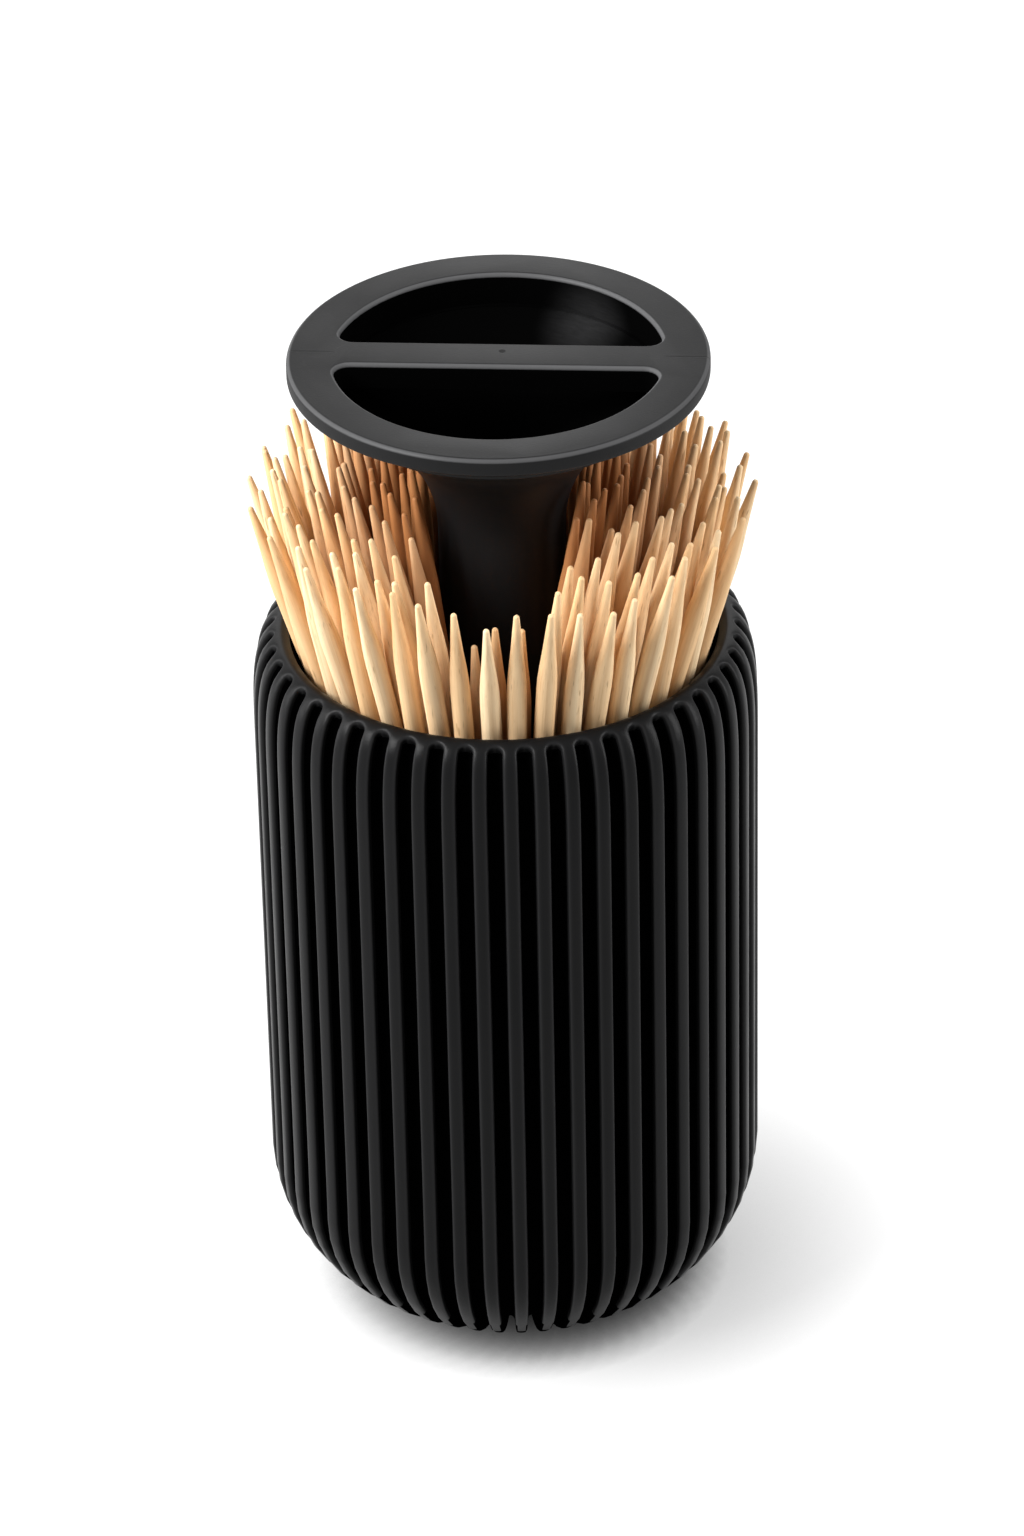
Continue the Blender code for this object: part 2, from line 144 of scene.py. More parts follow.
# %% Turn an outline round Z
def turn_piece(name, outline, steps, closed=False):
    """Spin a half cross-section into a closed round solid, and leave edit mode."""
    piece = draw_outline(name, side_view(outline), closed)
    select_all()
    bpy.ops.mesh.spin(steps=steps, angle=math.tau, center=(0, 0, 0), axis=(0, 0, 1),
                      use_auto_merge=True)
    select_all()
    bpy.ops.mesh.remove_doubles(threshold=MERGE_DISTANCE)
    bpy.ops.mesh.normals_make_consistent(inside=False)
    leave_edit()
    return piece


def surface(piece, finish, degrees):
    """Give a piece its finish and smooth shading, with edges sharper than an angle left crisp."""
    choose(piece)
    bpy.ops.object.shade_smooth_by_angle(angle=math.radians(degrees))
    piece.data.materials.append(finish)


def arc(centre, radius, start, end, steps, squash=1.0):
    """(radius, height) points of an arc; squash scales it upwards."""
    angles = [math.radians(start + (end - start) * step / steps) for step in range(steps + 1)]
    return [(centre[0] + radius * math.cos(angle), centre[1] + radius * squash * math.sin(angle))
            for angle in angles]


# %% Report a finished piece
def report(piece):
    """Print what a cell made."""
    shape = bmesh.new()
    shape.from_mesh(piece.data)
    open_edges = sum(not edge.is_manifold for edge in shape.edges)
    shape.free()
    triangles = sum(len(polygon.vertices) - 2 for polygon in piece.data.polygons)
    print(f"{piece.name}: {triangles} triangles, {open_edges} open edges")


# %% [markdown]
# ## Shared effects
#
# Moulded plastic is never one even tone: the tool leaves a fine spark-eroded grain, the melt
# leaves faint cloudy patches of gloss, and dust settles on faces that look up. Each effect is a
# node group built once. It puts out only masks and values, and each finish mixes them into its
# own shader with its own amounts.

# %% Helpers for node groups
def feed(tree, socket, value):
    """Link a socket to another one, or set it to a number, a vector or a colour."""
    if isinstance(value, bpy.types.NodeSocket):
        tree.links.new(value, socket)
    elif socket.type == "RGBA":
        socket.default_value = (*value, 1.0)
    else:
        socket.default_value = value


def add_math(tree, operation, *values):
    node = tree.nodes.new("ShaderNodeMath")
    node.operation = operation
    for socket, value in zip(node.inputs, values):
        feed(tree, socket, value)
    return node.outputs["Value"]


def multiply(tree, product, *factors):
    for factor in factors:
        product = add_math(tree, "MULTIPLY", product, factor)
    return product


def add_range(tree, value, from_min, from_max, to_min=0.0, to_max=1.0):
    node = tree.nodes.new("ShaderNodeMapRange")
    tree.links.new(value, node.inputs["Value"])
    for label, limit in (("From Min", from_min), ("From Max", from_max),
                         ("To Min", to_min), ("To Max", to_max)):
        node.inputs[label].default_value = limit
    return node.outputs["Result"]


def add_noise(tree, place, scale, detail, roughness=0.5, stretch=None):
    """Noise at a place, which is scaled first where the pattern is longer one way."""
    if stretch:
        mapping = tree.nodes.new("ShaderNodeMapping")
        mapping.inputs["Scale"].default_value = stretch
        tree.links.new(place, mapping.inputs["Vector"])
        place = mapping.outputs["Vector"]
    node = tree.nodes.new("ShaderNodeTexNoise")
    for label, value in (("Vector", place), ("Scale", scale), ("Detail", detail),
                         ("Roughness", roughness)):
        feed(tree, node.inputs[label], value)
    return node.outputs["Fac"]


def split(tree, vector):
    """The X, Y and Z sockets of a vector."""
    node = tree.nodes.new("ShaderNodeSeparateXYZ")
    tree.links.new(vector, node.inputs["Vector"])
    return node.outputs


def start_group(name, **amounts):
    """A shader node group with the vector input Place and a float input for each amount."""
    group = bpy.data.node_groups.new(name, "ShaderNodeTree")
    group.interface.new_socket(name="Place", in_out="INPUT", socket_type="NodeSocketVector")
    for label, value in amounts.items():
        socket = group.interface.new_socket(name=label.replace("_", " "), in_out="INPUT",
                                            socket_type="NodeSocketFloat")
        socket.default_value = value
    return group, group.nodes.new("NodeGroupInput").outputs


def finish_group(group, **masks):
    """Give the group a float output for each mask."""
    for label in masks:
        group.interface.new_socket(name=label, in_out="OUTPUT", socket_type="NodeSocketFloat")
    result = group.nodes.new("NodeGroupOutput")
    for label, mask in masks.items():
        group.links.new(mask, result.inputs[label])
    print("group:", group.name, "with", ", ".join(masks))
    return group


# %% Mould texture: fine grain and cloudy gloss
def build_mould_texture():
    group, given = start_group("mould_texture", Grain_size=4200.0, Cloud_size=90.0)
    grain = add_noise(group, given["Place"], given["Grain size"], 3.0, 0.6)
    clouds = add_noise(group, given["Place"], given["Cloud size"], 3.0, 0.55)
    return finish_group(group, Grain=grain, Clouds=clouds)


mould_texture = build_mould_texture()


# %% Settled dust: a mask on faces that look up
def build_settled_dust():
    group, given = start_group("settled_dust", Amount=0.2)
    normal = group.nodes.new("ShaderNodeNewGeometry").outputs["Normal"]
    upward = add_range(group, split(group, normal)["Z"], 0.55, 1.0)
    specks = add_noise(group, given["Place"], 1500.0, 4.0, 0.7)
    few = add_range(group, specks, 0.5, 0.8)
    return finish_group(group, Dust=multiply(group, upward, few, given["Amount"]))


settled_dust = build_settled_dust()


# %% Handling scuffs: rare thin scratches
def build_fine_scratches():
    group, given = start_group("fine_scratches", Amount=0.3)
    waves = group.nodes.new("ShaderNodeTexWave")
    for label, value in (("Vector", given["Place"]), ("Scale", 60.0), ("Distortion", 28.0),
                         ("Detail", 2.0), ("Detail Scale", 1.5)):
        feed(group, waves.inputs[label], value)
    thin = add_range(group, waves.outputs["Fac"], 0.985, 1.0)
    patches = add_noise(group, given["Place"], 60.0, 2.0)
    rare = add_range(group, patches, 0.58, 0.7)
    return finish_group(group, Scratch=multiply(group, thin, rare, given["Amount"]))


fine_scratches = build_fine_scratches()

# %% Marks of the mould on the lifter, and a sheen painted on its stem
PARTING_START = 0.0178
PARTING_FADE = 0.0003
PARTING_WIDTH = 0.00011
GATE_PLACE = (0.0004, 0.0006)
GATE_RADIUS = 0.00042
# The stem below this height is painted a lighter grey: a painted sheen.
STEM_SHEEN_TOP = 0.1155
STEM_SHEEN_FADE = 0.004
STEM_SHEEN_GREY = (0.0115, 0.0115, 0.012)
SIDE_START = 0.004
SIDE_END = 0.023


def build_marks_and_stem_sheen():
    """The parting line across the rim, the gate's dot on the bar, how far to a side a point is,
    and the stem, which is painted a lighter grey as a sheen."""
    group, given = start_group("marks_and_stem_sheen")
    parts = split(group, given["Place"])
    beside, across = (add_math(group, "ABSOLUTE", parts[axis]) for axis in "XY")
    near = add_range(group, across, 0.0, PARTING_WIDTH, 1.0, 0.0)
    outer = add_range(group, beside, PARTING_START, PARTING_START + PARTING_FADE)
    squares = [add_math(group, "POWER", add_math(group, "SUBTRACT", parts[axis], middle), 2.0)
               for axis, middle in zip("XY", GATE_PLACE)]
    away = add_math(group, "SQRT", add_math(group, "ADD", *squares))
    return finish_group(group, Line=multiply(group, near, outer),
                        Gate=add_range(group, away, GATE_RADIUS * 0.7, GATE_RADIUS, 1.0, 0.0),
                        Side=add_range(group, beside, SIDE_START, SIDE_END),
                        Stem=add_range(group, parts["Z"], STEM_SHEEN_TOP, STEM_SHEEN_TOP - STEM_SHEEN_FADE))


marks_and_stem_sheen = build_marks_and_stem_sheen()


# %% Wood streaks that follow a stick
def build_wood_streaks():
    group, given = start_group("wood_streaks")
    place = given["Place"]
    fibres = add_noise(group, place, 1.0, 3.0, 0.6, stretch=(5200.0, 5200.0, 120.0))
    bands = add_noise(group, place, 1.0, 2.0, 0.5, stretch=(1500.0, 1500.0, 45.0))
    pores = add_noise(group, place, 1.0, 1.0, 0.5, stretch=(3200.0, 3200.0, 330.0))
    return finish_group(group, Fibres=fibres, Bands=bands, Tone=add_noise(group, place, 9.0, 0.0),
                        Pores=add_range(group, pores, 0.68, 0.78))


wood_streaks = build_wood_streaks()

# %% [markdown]
# ## Finishes
#
# The cup and lifter are black moulded plastic with a silky, lightly grained surface, the lifter a
# little lighter. In the flutes, on the bore and in the funnel their shade is painted as a
# near-black colour without gloss. The tray inside is a plain dark grey plastic, the pad and ring
# are soft silicone, the screw is zinc-plated steel, and the toothpicks are pale birch. Constants
# sit on the shader's own sockets, and only what changes over the surface comes from nodes.

# %% Helpers for finishes
def start_finish(name, specular, ior=1.5):
    """A material, its node tree and the sockets of its shader."""
    made = bpy.data.materials.new(name)
    made.use_nodes = True
    tree = made.node_tree
    shader = tree.nodes["Principled BSDF"].inputs
    shader["Specular IOR Level"].default_value = specular
    shader["IOR"].default_value = ior
    return made, tree, shader


def object_place(tree):
    return tree.nodes.new("ShaderNodeTexCoord").outputs["Object"]


def read_attribute(tree, name):
    node = tree.nodes.new("ShaderNodeAttribute")
    node.attribute_name = name
    return node.outputs


def place_group(tree, group, place, **amounts):
    """The outputs of a shared effect at a place."""
    node = tree.nodes.new("ShaderNodeGroup")
    node.node_tree = group
    tree.links.new(place, node.inputs["Place"])
    for label, value in amounts.items():
        node.inputs[label.replace("_", " ")].default_value = value
    return node.outputs


def blend_colours(tree, share, first, second):
    """Mix two colours, each a tuple or a socket, by a socket."""
    node = tree.nodes.new("ShaderNodeMix")
    node.data_type = "RGBA"
    for number, value in ((0, share), (6, first), (7, second)):
        feed(tree, node.inputs[number], value)
    return node.outputs[2]


def cover(tree, shader, colour, roughness, relief, depth, strength):
    """Link to the shader what changes over the surface: colour, roughness and a bump."""
    bump = tree.nodes.new("ShaderNodeBump")
    for socket, value in ((bump.inputs["Height"], relief), (bump.inputs["Distance"], depth),
                          (bump.inputs["Strength"], strength), (shader["Base Color"], colour),
                          (shader["Roughness"], roughness),
                          (shader["Normal"], bump.outputs["Normal"])):
        feed(tree, socket, value)


# %% Moulded plastic, with a highlight painted along the edges where a piece has them
EDGE_HIGHLIGHT_MASK = "painted_edge_highlight"
DUST_GREY = (0.06, 0.058, 0.055)
MARK_DARK = (0.002, 0.002, 0.002)
MARK_SHARES = (("Line", 0.8), ("Gate", 0.5))
MARK_DULLNESS = (("Side", 0.2), ("Gate", 0.25))
MARK_DEPTHS = (("Line", -2.2), ("Gate", -2.5))


def moulded_plastic(name, dark, light, gloss, dull, specular, grain_depth, dust,
                    edge_highlight_colour=(0.014, 0.014, 0.0145), marked=False):
    made, tree, shader = start_finish(name, specular)
    place = object_place(tree)
    texture = place_group(tree, mould_texture, place)
    settled = place_group(tree, settled_dust, place, Amount=dust)
    scratch = place_group(tree, fine_scratches, place, Amount=0.06)
    tint = blend_colours(tree, texture["Clouds"], dark, light)
    dusty = blend_colours(tree, settled["Dust"], tint, DUST_GREY)
    # A lighter colour along the edges, by the edge mask: a painted highlight.
    colour = blend_colours(tree, read_attribute(tree, EDGE_HIGHLIGHT_MASK)["Fac"], dusty, edge_highlight_colour)
    satin = add_range(tree, texture["Clouds"], 0.3, 0.7, gloss, dull)
    roughness = add_math(tree, "SUBTRACT", satin, scratch["Scratch"])
    relief = texture["Grain"]
    if marked:
        marks = place_group(tree, marks_and_stem_sheen, place)
        # The stem's lighter grey is a painted sheen.
        colour = blend_colours(tree, marks["Stem"], colour, STEM_SHEEN_GREY)
        for label, share in MARK_SHARES:
            colour = blend_colours(tree, multiply(tree, marks[label], share), colour, MARK_DARK)
        for label, dullness in MARK_DULLNESS:
            roughness = add_math(tree, "MULTIPLY_ADD", marks[label], dullness, roughness)
        for label, depth in MARK_DEPTHS:
            relief = add_math(tree, "MULTIPLY_ADD", marks[label], depth, relief)
    cover(tree, shader, colour, roughness, relief, grain_depth, 0.5)
    return made


cup_finish = moulded_plastic("black_plastic_cup", (0.0042, 0.0042, 0.0044),
                             (0.006, 0.006, 0.0063), 0.29, 0.38, 0.08, 0.00003, 0.05)
lifter_finish = moulded_plastic("black_plastic_lifter", (0.0068, 0.0068, 0.0071),
                                (0.0092, 0.0092, 0.0096), 0.34, 0.42, 0.12, 0.00003, 0.06,
                                edge_highlight_colour=(0.085, 0.085, 0.087), marked=True)
tray_finish = moulded_plastic("grey_plastic_tray", (0.03, 0.03, 0.032), (0.042, 0.042, 0.044),
                              0.42, 0.55, 0.5, 0.00004, 0.25)
print("plastics:", cup_finish.name, lifter_finish.name, tray_finish.name)

# %% The plastic in a hollow: its shade painted as a near-black colour without gloss, and a painted sheen in the funnel
# A painted sheen: a grey patch with turning lines in the funnel's colour, in place of a
# reflection.
SHEEN_PLACE = (0.0086, 0.0143, 0.1157)
SHEEN_SIZE = 0.0062
# Near-black colours that stand for shade in the flutes, on the bore and in the funnel.
FLUTE_PAINTED_SHADE = (0.0012, 0.0012, 0.0013)
FUNNEL_PAINTED_SHADE = (0.0012, 0.0012, 0.0012)
FUNNEL_SHEEN = (0.021, 0.021, 0.0215)


def painted_shade_plastic(name, deep, sheen, grain_depth):
    """Near black that stands for shade, with a sheen and turning lines painted at one place of the
    funnel.
    """
    made, tree, shader = start_finish(name, 0.0)
    place = object_place(tree)
    texture = place_group(tree, mould_texture, place, Grain_size=3000.0)
    distance = tree.nodes.new("ShaderNodeVectorMath")
    distance.operation = "DISTANCE"
    feed(tree, distance.inputs[0], place)
    feed(tree, distance.inputs[1], SHEEN_PLACE)
    near = add_range(tree, distance.outputs["Value"], 0.0, SHEEN_SIZE, 1.0, 0.0)
    near.node.interpolation_type = "SMOOTHSTEP"
    sheen_lines = add_noise(tree, place, 1.0, 2.0, 0.6, stretch=(700.0, 700.0, 5200.0))
    streak = add_range(tree, sheen_lines, 0.3, 0.7, 0.7, 1.0)
    colour = blend_colours(tree, multiply(tree, near, streak), deep, sheen)
    roughness = add_range(tree, texture["Clouds"], 0.3, 0.7, 0.75, 0.95)
    cover(tree, shader, colour, roughness, texture["Grain"], grain_depth, 0.5)
    return made


flute_shade_finish = painted_shade_plastic("black_plastic_flute_painted_shade", FLUTE_PAINTED_SHADE, FLUTE_PAINTED_SHADE, 0.00003)
funnel_shade_and_sheen_finish = painted_shade_plastic("black_plastic_funnel_painted_shade_and_sheen", FUNNEL_PAINTED_SHADE, FUNNEL_SHEEN, 0.00004)


def line_painted_shade(piece, finish, wanted):
    """Give the faces that pass a test a finish with painted shade."""
    piece.data.materials.append(finish)
    slot = len(piece.data.materials) - 1
    lined = [face for face in piece.data.polygons if wanted(face)]
    for face in lined:
        face.material_index = slot
    print(f"{piece.name}: {len(lined)} faces lined with {finish.name}")


def store_edge_highlight(piece, amounts):
    """Store how much painted highlight each vertex has."""
    mask = piece.data.attributes.new(EDGE_HIGHLIGHT_MASK, "FLOAT", "POINT")
    mask.data.foreach_set("value", amounts)


# %% Soft silicone
def soft_silicone(name):
    made, tree, shader = start_finish(name, 0.3, 1.41)
    place = object_place(tree)
    texture = place_group(tree, mould_texture, place, Grain_size=2600.0)
    settled = place_group(tree, settled_dust, place, Amount=0.3)
    tint = blend_colours(tree, texture["Clouds"], (0.018, 0.018, 0.018), (0.03, 0.03, 0.03))
    lint = blend_colours(tree, settled["Dust"], tint, (0.2, 0.19, 0.18))
    roughness = add_range(tree, texture["Grain"], 0.3, 0.7, 0.62, 0.8)
    cover(tree, shader, lint, roughness, texture["Grain"], 0.00005, 0.5)
    return made


silicone_finish = soft_silicone("black_silicone")
print("silicone:", silicone_finish.name)


# %% Zinc-plated steel
def plated_steel(name):
    made, tree, shader = start_finish(name, 0.5)
    shader["Metallic"].default_value = 1.0
    place = object_place(tree)
    texture = place_group(tree, mould_texture, place, Grain_size=1800.0, Cloud_size=500.0)
    scratch = place_group(tree, fine_scratches, place, Amount=0.5)
    tint = blend_colours(tree, texture["Clouds"], (0.5, 0.51, 0.53), (0.63, 0.62, 0.58))
    satin = add_range(tree, texture["Clouds"], 0.3, 0.7, 0.26, 0.42)
    roughness = add_math(tree, "ADD", satin, scratch["Scratch"])
    cover(tree, shader, tint, roughness, texture["Grain"], 0.00002, 0.4)
    return made


steel_finish = plated_steel("zinc_plated_steel")
print("steel:", steel_finish.name)

# %% Pale birch
WOOD_PLACE = "wood_place"
WOOD_SHADE = "painted_wood_shade"
BIRCH_PALE = (0.97, 0.74, 0.46)
BIRCH_GROUND = (0.86, 0.56, 0.29)
BIRCH_SHADE_AMBER = (0.37, 0.14, 0.04)
BIRCH_STREAKS = (
    # mask, where it starts and ends, share, colour
    ("Bands", 0.45, 0.75, 0.5, (0.66, 0.37, 0.16)),
    ("Fibres", 0.52, 0.8, 0.5, (0.54, 0.29, 0.12)),
    ("Pores", 0.0, 1.0, 0.65, (0.36, 0.19, 0.08)),
)


def pale_birch(name):
    made, tree, shader = start_finish(name, 0.3)
    streaks = place_group(tree, wood_streaks, read_attribute(tree, WOOD_PLACE)["Vector"])
    stick_tone = add_range(tree, streaks["Tone"], 0.3, 0.7)
    colour = blend_colours(tree, stick_tone, BIRCH_GROUND, BIRCH_PALE)
    for label, start, end, most, dark in BIRCH_STREAKS:
        share = add_range(tree, streaks[label], start, end, 0.0, most)
        colour = blend_colours(tree, share, colour, dark)
    # A deeper amber towards the middle of the bundle: painted shade.
    inner = read_attribute(tree, WOOD_SHADE)["Fac"]
    colour = blend_colours(tree, inner, colour, BIRCH_SHADE_AMBER)
    roughness = add_range(tree, streaks["Fibres"], 0.3, 0.7, 0.5, 0.68)
    cover(tree, shader, colour, roughness, streaks["Fibres"], 0.00005, 0.6)
    return made


birch_finish = pale_birch("pale_birch")
print("wood:", birch_finish.name)

# %% [markdown]
# ## The fluted cup
#
# The cup is one thick moulding. Its 51 flutes are pressed into the wall like the mark of a
# ball-ended cutter, so each one ends in a round arch just under the smooth lip, and the ribs left
# between them have softly rounded edges. A lighter colour painted along those edges stands for the
# thin lines of highlight on them, and the flutes' insides are painted near black as shade. One
# wedge, from rib to rib, is drawn and spun, its flute is pressed in by moving vertices along the
# wall's normal, and a spin with copies repeats the finished wedge round the cup. Cutting 51 flutes
# with a Boolean would leave the arches ragged and the rounded edges uneven.

# %% Sizes of the cup
CUP_RADIUS = 0.028
CUP_HEIGHT = 0.0866
CUP_BASE = 0.0004
BASE_FILLET = 0.018
BORE_RADIUS = 0.0232
SHOULDER_WIDTH = 0.0056
SHOULDER_HEIGHT = 0.01395
SHOULDER_POWER = 3.57
LIP_RADIUS = 0.0248
LIP_ROUND = 0.0016
LIP_DROP = 0.0026
CUP_FLOOR = 0.0036
RECESS_RADIUS = 0.0089
RECESS_TOP = 0.0014
BEAD_BOTTOM = 0.0489
BEAD_HEIGHT = 0.0006
BEAD_DEPTH = 0.0009
RIB_COUNT = 51
FIRST_RIB_ANGLE = math.radians(-0.44)
FLUTE_DEPTH = 0.002
ARCH_TOP_RADIUS = 0.02515
ARCH_STRETCH = 0.95
ARCH_SHOWN = 0.5
ARCH_ROWS = 8
RIM_STEP = 0.00005
SHOULDER_ROWS = 11
WALL_ROW_HEIGHTS = (0.036, 0.055)
FILLET_ROW_ANGLES = (0, 4, 6, 9, 12, 16, 21, 28, 36, 45, 54, 63, 72, 81, 90)
RUN_OUT_START = 4
RUN_OUT_SPAN = 17

# %% Half of a flute's section, from the middle of the rib to the bottom of the flute
FLUTE_SECTION = ((0.001725, 0.0), (0.00150, 0.002), (0.00130, 0.010), (0.00117, 0.023),
                 (0.00107, 0.043), (0.00099, 0.075), (0.00094, 0.12), (0.00090, 0.19),
                 (0.00087, 0.32), (0.00084, 0.48), (0.00078, 0.65), (0.00065, 0.82),
                 (0.00037, 0.96), (0.0, 1.0))
MOUTH = 0.00130
PITCH = math.tau / RIB_COUNT
HALF_PITCH = PITCH * CUP_RADIUS / 2
COLUMNS = [(-HALF_PITCH, 0.0)] + [(-x, sink) for x, sink in FLUTE_SECTION[1:]]
COLUMNS += [(-x, sink) for x, sink in reversed(COLUMNS[:-1])]
print("columns in a wedge:", len(COLUMNS))


# %% The wall's outline over the ribs
def shoulder_point(share):
    """(radius, height) of the shoulder at a share of its height."""
    across = max(0.0, 1 - share ** SHOULDER_POWER) ** (1 / SHOULDER_POWER)
    return (CUP_RADIUS - SHOULDER_WIDTH + SHOULDER_WIDTH * across,
            CUP_HEIGHT - SHOULDER_HEIGHT + SHOULDER_HEIGHT * share)


SHOULDER_STEPS = 400
SHOULDER_REACH = 0.00004
SHOULDER = [shoulder_point(1 - (1 - step / SHOULDER_STEPS) ** 2)
            for step in range(SHOULDER_STEPS + 1)]
SHOULDER_LENGTHS = [0.0]
for below, above in zip(SHOULDER, SHOULDER[1:]):
    SHOULDER_LENGTHS.append(SHOULDER_LENGTHS[-1] + math.dist(below, above))
SHOULDER_RADII = [point[0] for point in SHOULDER]
SHOULDER_HEIGHTS = [point[1] for point in SHOULDER]


def shoulder_at(length):
    """Point and outward normal at a length along the shoulder."""
    here, ahead, behind = (
        [np.interp(length + offset, SHOULDER_LENGTHS, values)
         for values in (SHOULDER_RADII, SHOULDER_HEIGHTS)]
        for offset in (0.0, SHOULDER_REACH, -SHOULDER_REACH))
    along = Vector((ahead[0] - behind[0], ahead[1] - behind[1])).normalized()
    return Vector(here), Vector((along.y, -along.x))


def length_at_radius(radius):
    """Length along the shoulder where it has come in to a radius."""
    return np.interp(-radius, [-r for r in SHOULDER_RADII], SHOULDER_LENGTHS)


ARCH_TOP = length_at_radius(ARCH_TOP_RADIUS)
ARCH_START = ARCH_TOP - MOUTH * ARCH_STRETCH
print(f"arches start {ARCH_START * 1000:.2f} mm up the shoulder")


# %% Rows of the wedge from the underside over the lip to the floor inside
def plain_row(point):
    return [(x, Vector(point), 0.0) for x, _ in COLUMNS]


def fluted_row(point, normal, depth, masked=True):
    return [(x, Vector(point) - normal * FLUTE_DEPTH * depth * sink, sink if masked else 0.0)
            for x, sink in COLUMNS]


def arch_row(turn):
    """Each column goes round the arch's centre at its own distance, as under a ball cutter."""
    row = []
    for x, sink in COLUMNS:
        flank = min(abs(x), MOUTH)
        point, normal = shoulder_at(ARCH_START + flank * ARCH_STRETCH * math.sin(turn))
        across = flank * math.cos(turn)
        if abs(x) > MOUTH:
            rest = (abs(x) - MOUTH) / (HALF_PITCH - MOUTH)
            across = MOUTH * math.cos(turn) * (1 - rest) + HALF_PITCH * rest
        row.append((math.copysign(across, x), point - normal * FLUTE_DEPTH * sink,
                    sink * (1 - ARCH_SHOWN * math.sin(turn))))
    return row


def rim_row():
    """Just past the arches: the mouth's columns meet in one point on the surface."""
    point, _ = shoulder_at(ARCH_TOP + RIM_STEP)
    return [(math.copysign(max(0.0, abs(x) - MOUTH) * HALF_PITCH / (HALF_PITCH - MOUTH), x),
             Vector(point), 0.0) for x, _ in COLUMNS]


def cup_rows():
    rows = [plain_row((RECESS_RADIUS, RECESS_TOP)), plain_row((RECESS_RADIUS, CUP_BASE))]
    fillet = Vector((CUP_RADIUS - BASE_FILLET, CUP_BASE + BASE_FILLET))
    for angle in FILLET_ROW_ANGLES:
        turn = math.radians(angle)
        normal = Vector((math.sin(turn), -math.cos(turn)))
        run_out = min(1.0, max(0.0, (angle - RUN_OUT_START) / RUN_OUT_SPAN))
        depth = math.sqrt(1 - (1 - run_out) ** 2)
        rows.append(fluted_row(fillet + normal * BASE_FILLET, normal, depth, angle > 0))
    for height in WALL_ROW_HEIGHTS:
        rows.append(fluted_row((CUP_RADIUS, height), Vector((1, 0)), 1.0))
    for step in range(SHOULDER_ROWS + 1):
        rows.append(fluted_row(*shoulder_at(ARCH_START * (step / SHOULDER_ROWS) ** 0.8), 1.0))
    for step in range(1, ARCH_ROWS + 1):
        rows.append(arch_row(math.radians(90 * step / ARCH_ROWS)))
    rows.append(rim_row())
    lip_top = np.interp(length_at_radius(LIP_RADIUS), SHOULDER_LENGTHS, SHOULDER_HEIGHTS)
    lip_centre = (LIP_RADIUS, lip_top - LIP_DROP)
    inside = arc(lip_centre, LIP_ROUND, 90, 180, 8, LIP_DROP / LIP_ROUND)
    bead = BORE_RADIUS - BEAD_DEPTH
    inside += [(BORE_RADIUS, BEAD_BOTTOM + BEAD_HEIGHT + BEAD_DEPTH),
               (bead, BEAD_BOTTOM + BEAD_HEIGHT), (bead, BEAD_BOTTOM), (BORE_RADIUS, BEAD_BOTTOM)]
    hollow = fillet.y - CUP_FLOOR
    start = -math.degrees(math.acos((BORE_RADIUS - fillet.x) / hollow))
    inside += arc(fillet, hollow, start, -90, 7)
    return rows + [plain_row(point) for point in inside]


CUP_ROWS = cup_rows()
print("rows in the cup's outline:", len(CUP_ROWS))

# %% Draw the rib's outline and spin one wedge
RIB_OUTLINE = [row[0][1] for row in CUP_ROWS]
cup = draw_outline("fluted_cup", side_view(RIB_OUTLINE), closed=False)
select_all()
bpy.ops.mesh.spin(steps=len(COLUMNS) - 1, angle=PITCH, center=(0, 0, 0), axis=(0, 0, 1),
                  use_auto_merge=False)


# %% Press the flute into the wedge
SUNK = "sunk_share"


def press_flute(piece):
    """Move each vertex of the plain wedge to its row and column of the fluted one, and take
    out the faces that the arch's top folds flat between its two sides."""
    shape = bmesh.from_edit_mesh(piece.data)
    places = np.array([(math.hypot(v.co.x, v.co.y), v.co.z) for v in shape.verts])
    outline = np.array([tuple(point) for point in RIB_OUTLINE])
    column_angle = PITCH / (len(COLUMNS) - 1)
    middle = FIRST_RIB_ANGLE + PITCH / 2
    depths = shape.verts.layers.float.new(SUNK)
    on_middle = set()
    for vertex, place in zip(shape.verts, places):
        row = CUP_ROWS[int(np.argmin(((outline - place) ** 2).sum(1)))]
        column = round(abs(math.atan2(vertex.co.y, vertex.co.x)) / column_angle)
        x, point, vertex[depths] = row[column]
        angle = middle + x / CUP_RADIUS
        vertex.co = (point.x * math.cos(angle), point.x * math.sin(angle), point.y)
        if abs(x) < MERGE_DISTANCE:
            on_middle.add(vertex)
    bpy.ops.mesh.select_all(action="DESELECT")
    for face in shape.faces:
        if on_middle.issuperset(face.verts):
            face.select_set(True)
    bmesh.update_edit_mesh(piece.data)
    bpy.ops.mesh.delete(type="FACE")


press_flute(cup)

# %% Repeat the wedge round the cup and close it
select_all()
bpy.ops.mesh.spin(steps=RIB_COUNT - 1, angle=math.tau * (RIB_COUNT - 1) / RIB_COUNT,
                  center=(0, 0, 0), axis=(0, 0, 1), dupli=True, use_auto_merge=False)
select_all()
bpy.ops.mesh.remove_doubles(threshold=MERGE_DISTANCE)
bpy.ops.mesh.fill_holes(sides=0)
select_all()
bpy.ops.mesh.normals_make_consistent(inside=False)
leave_edit()
surface(cup, cup_finish, 50)

# %% Paint a highlight along the ribs' edges, and paint the flutes and the bore near black as shade
HOLLOW_FROM = 0.36
BORE_SKIN = 0.0004
EDGE_RISE = (0.004, 0.035)
EDGE_FALL = (0.10, 0.22)
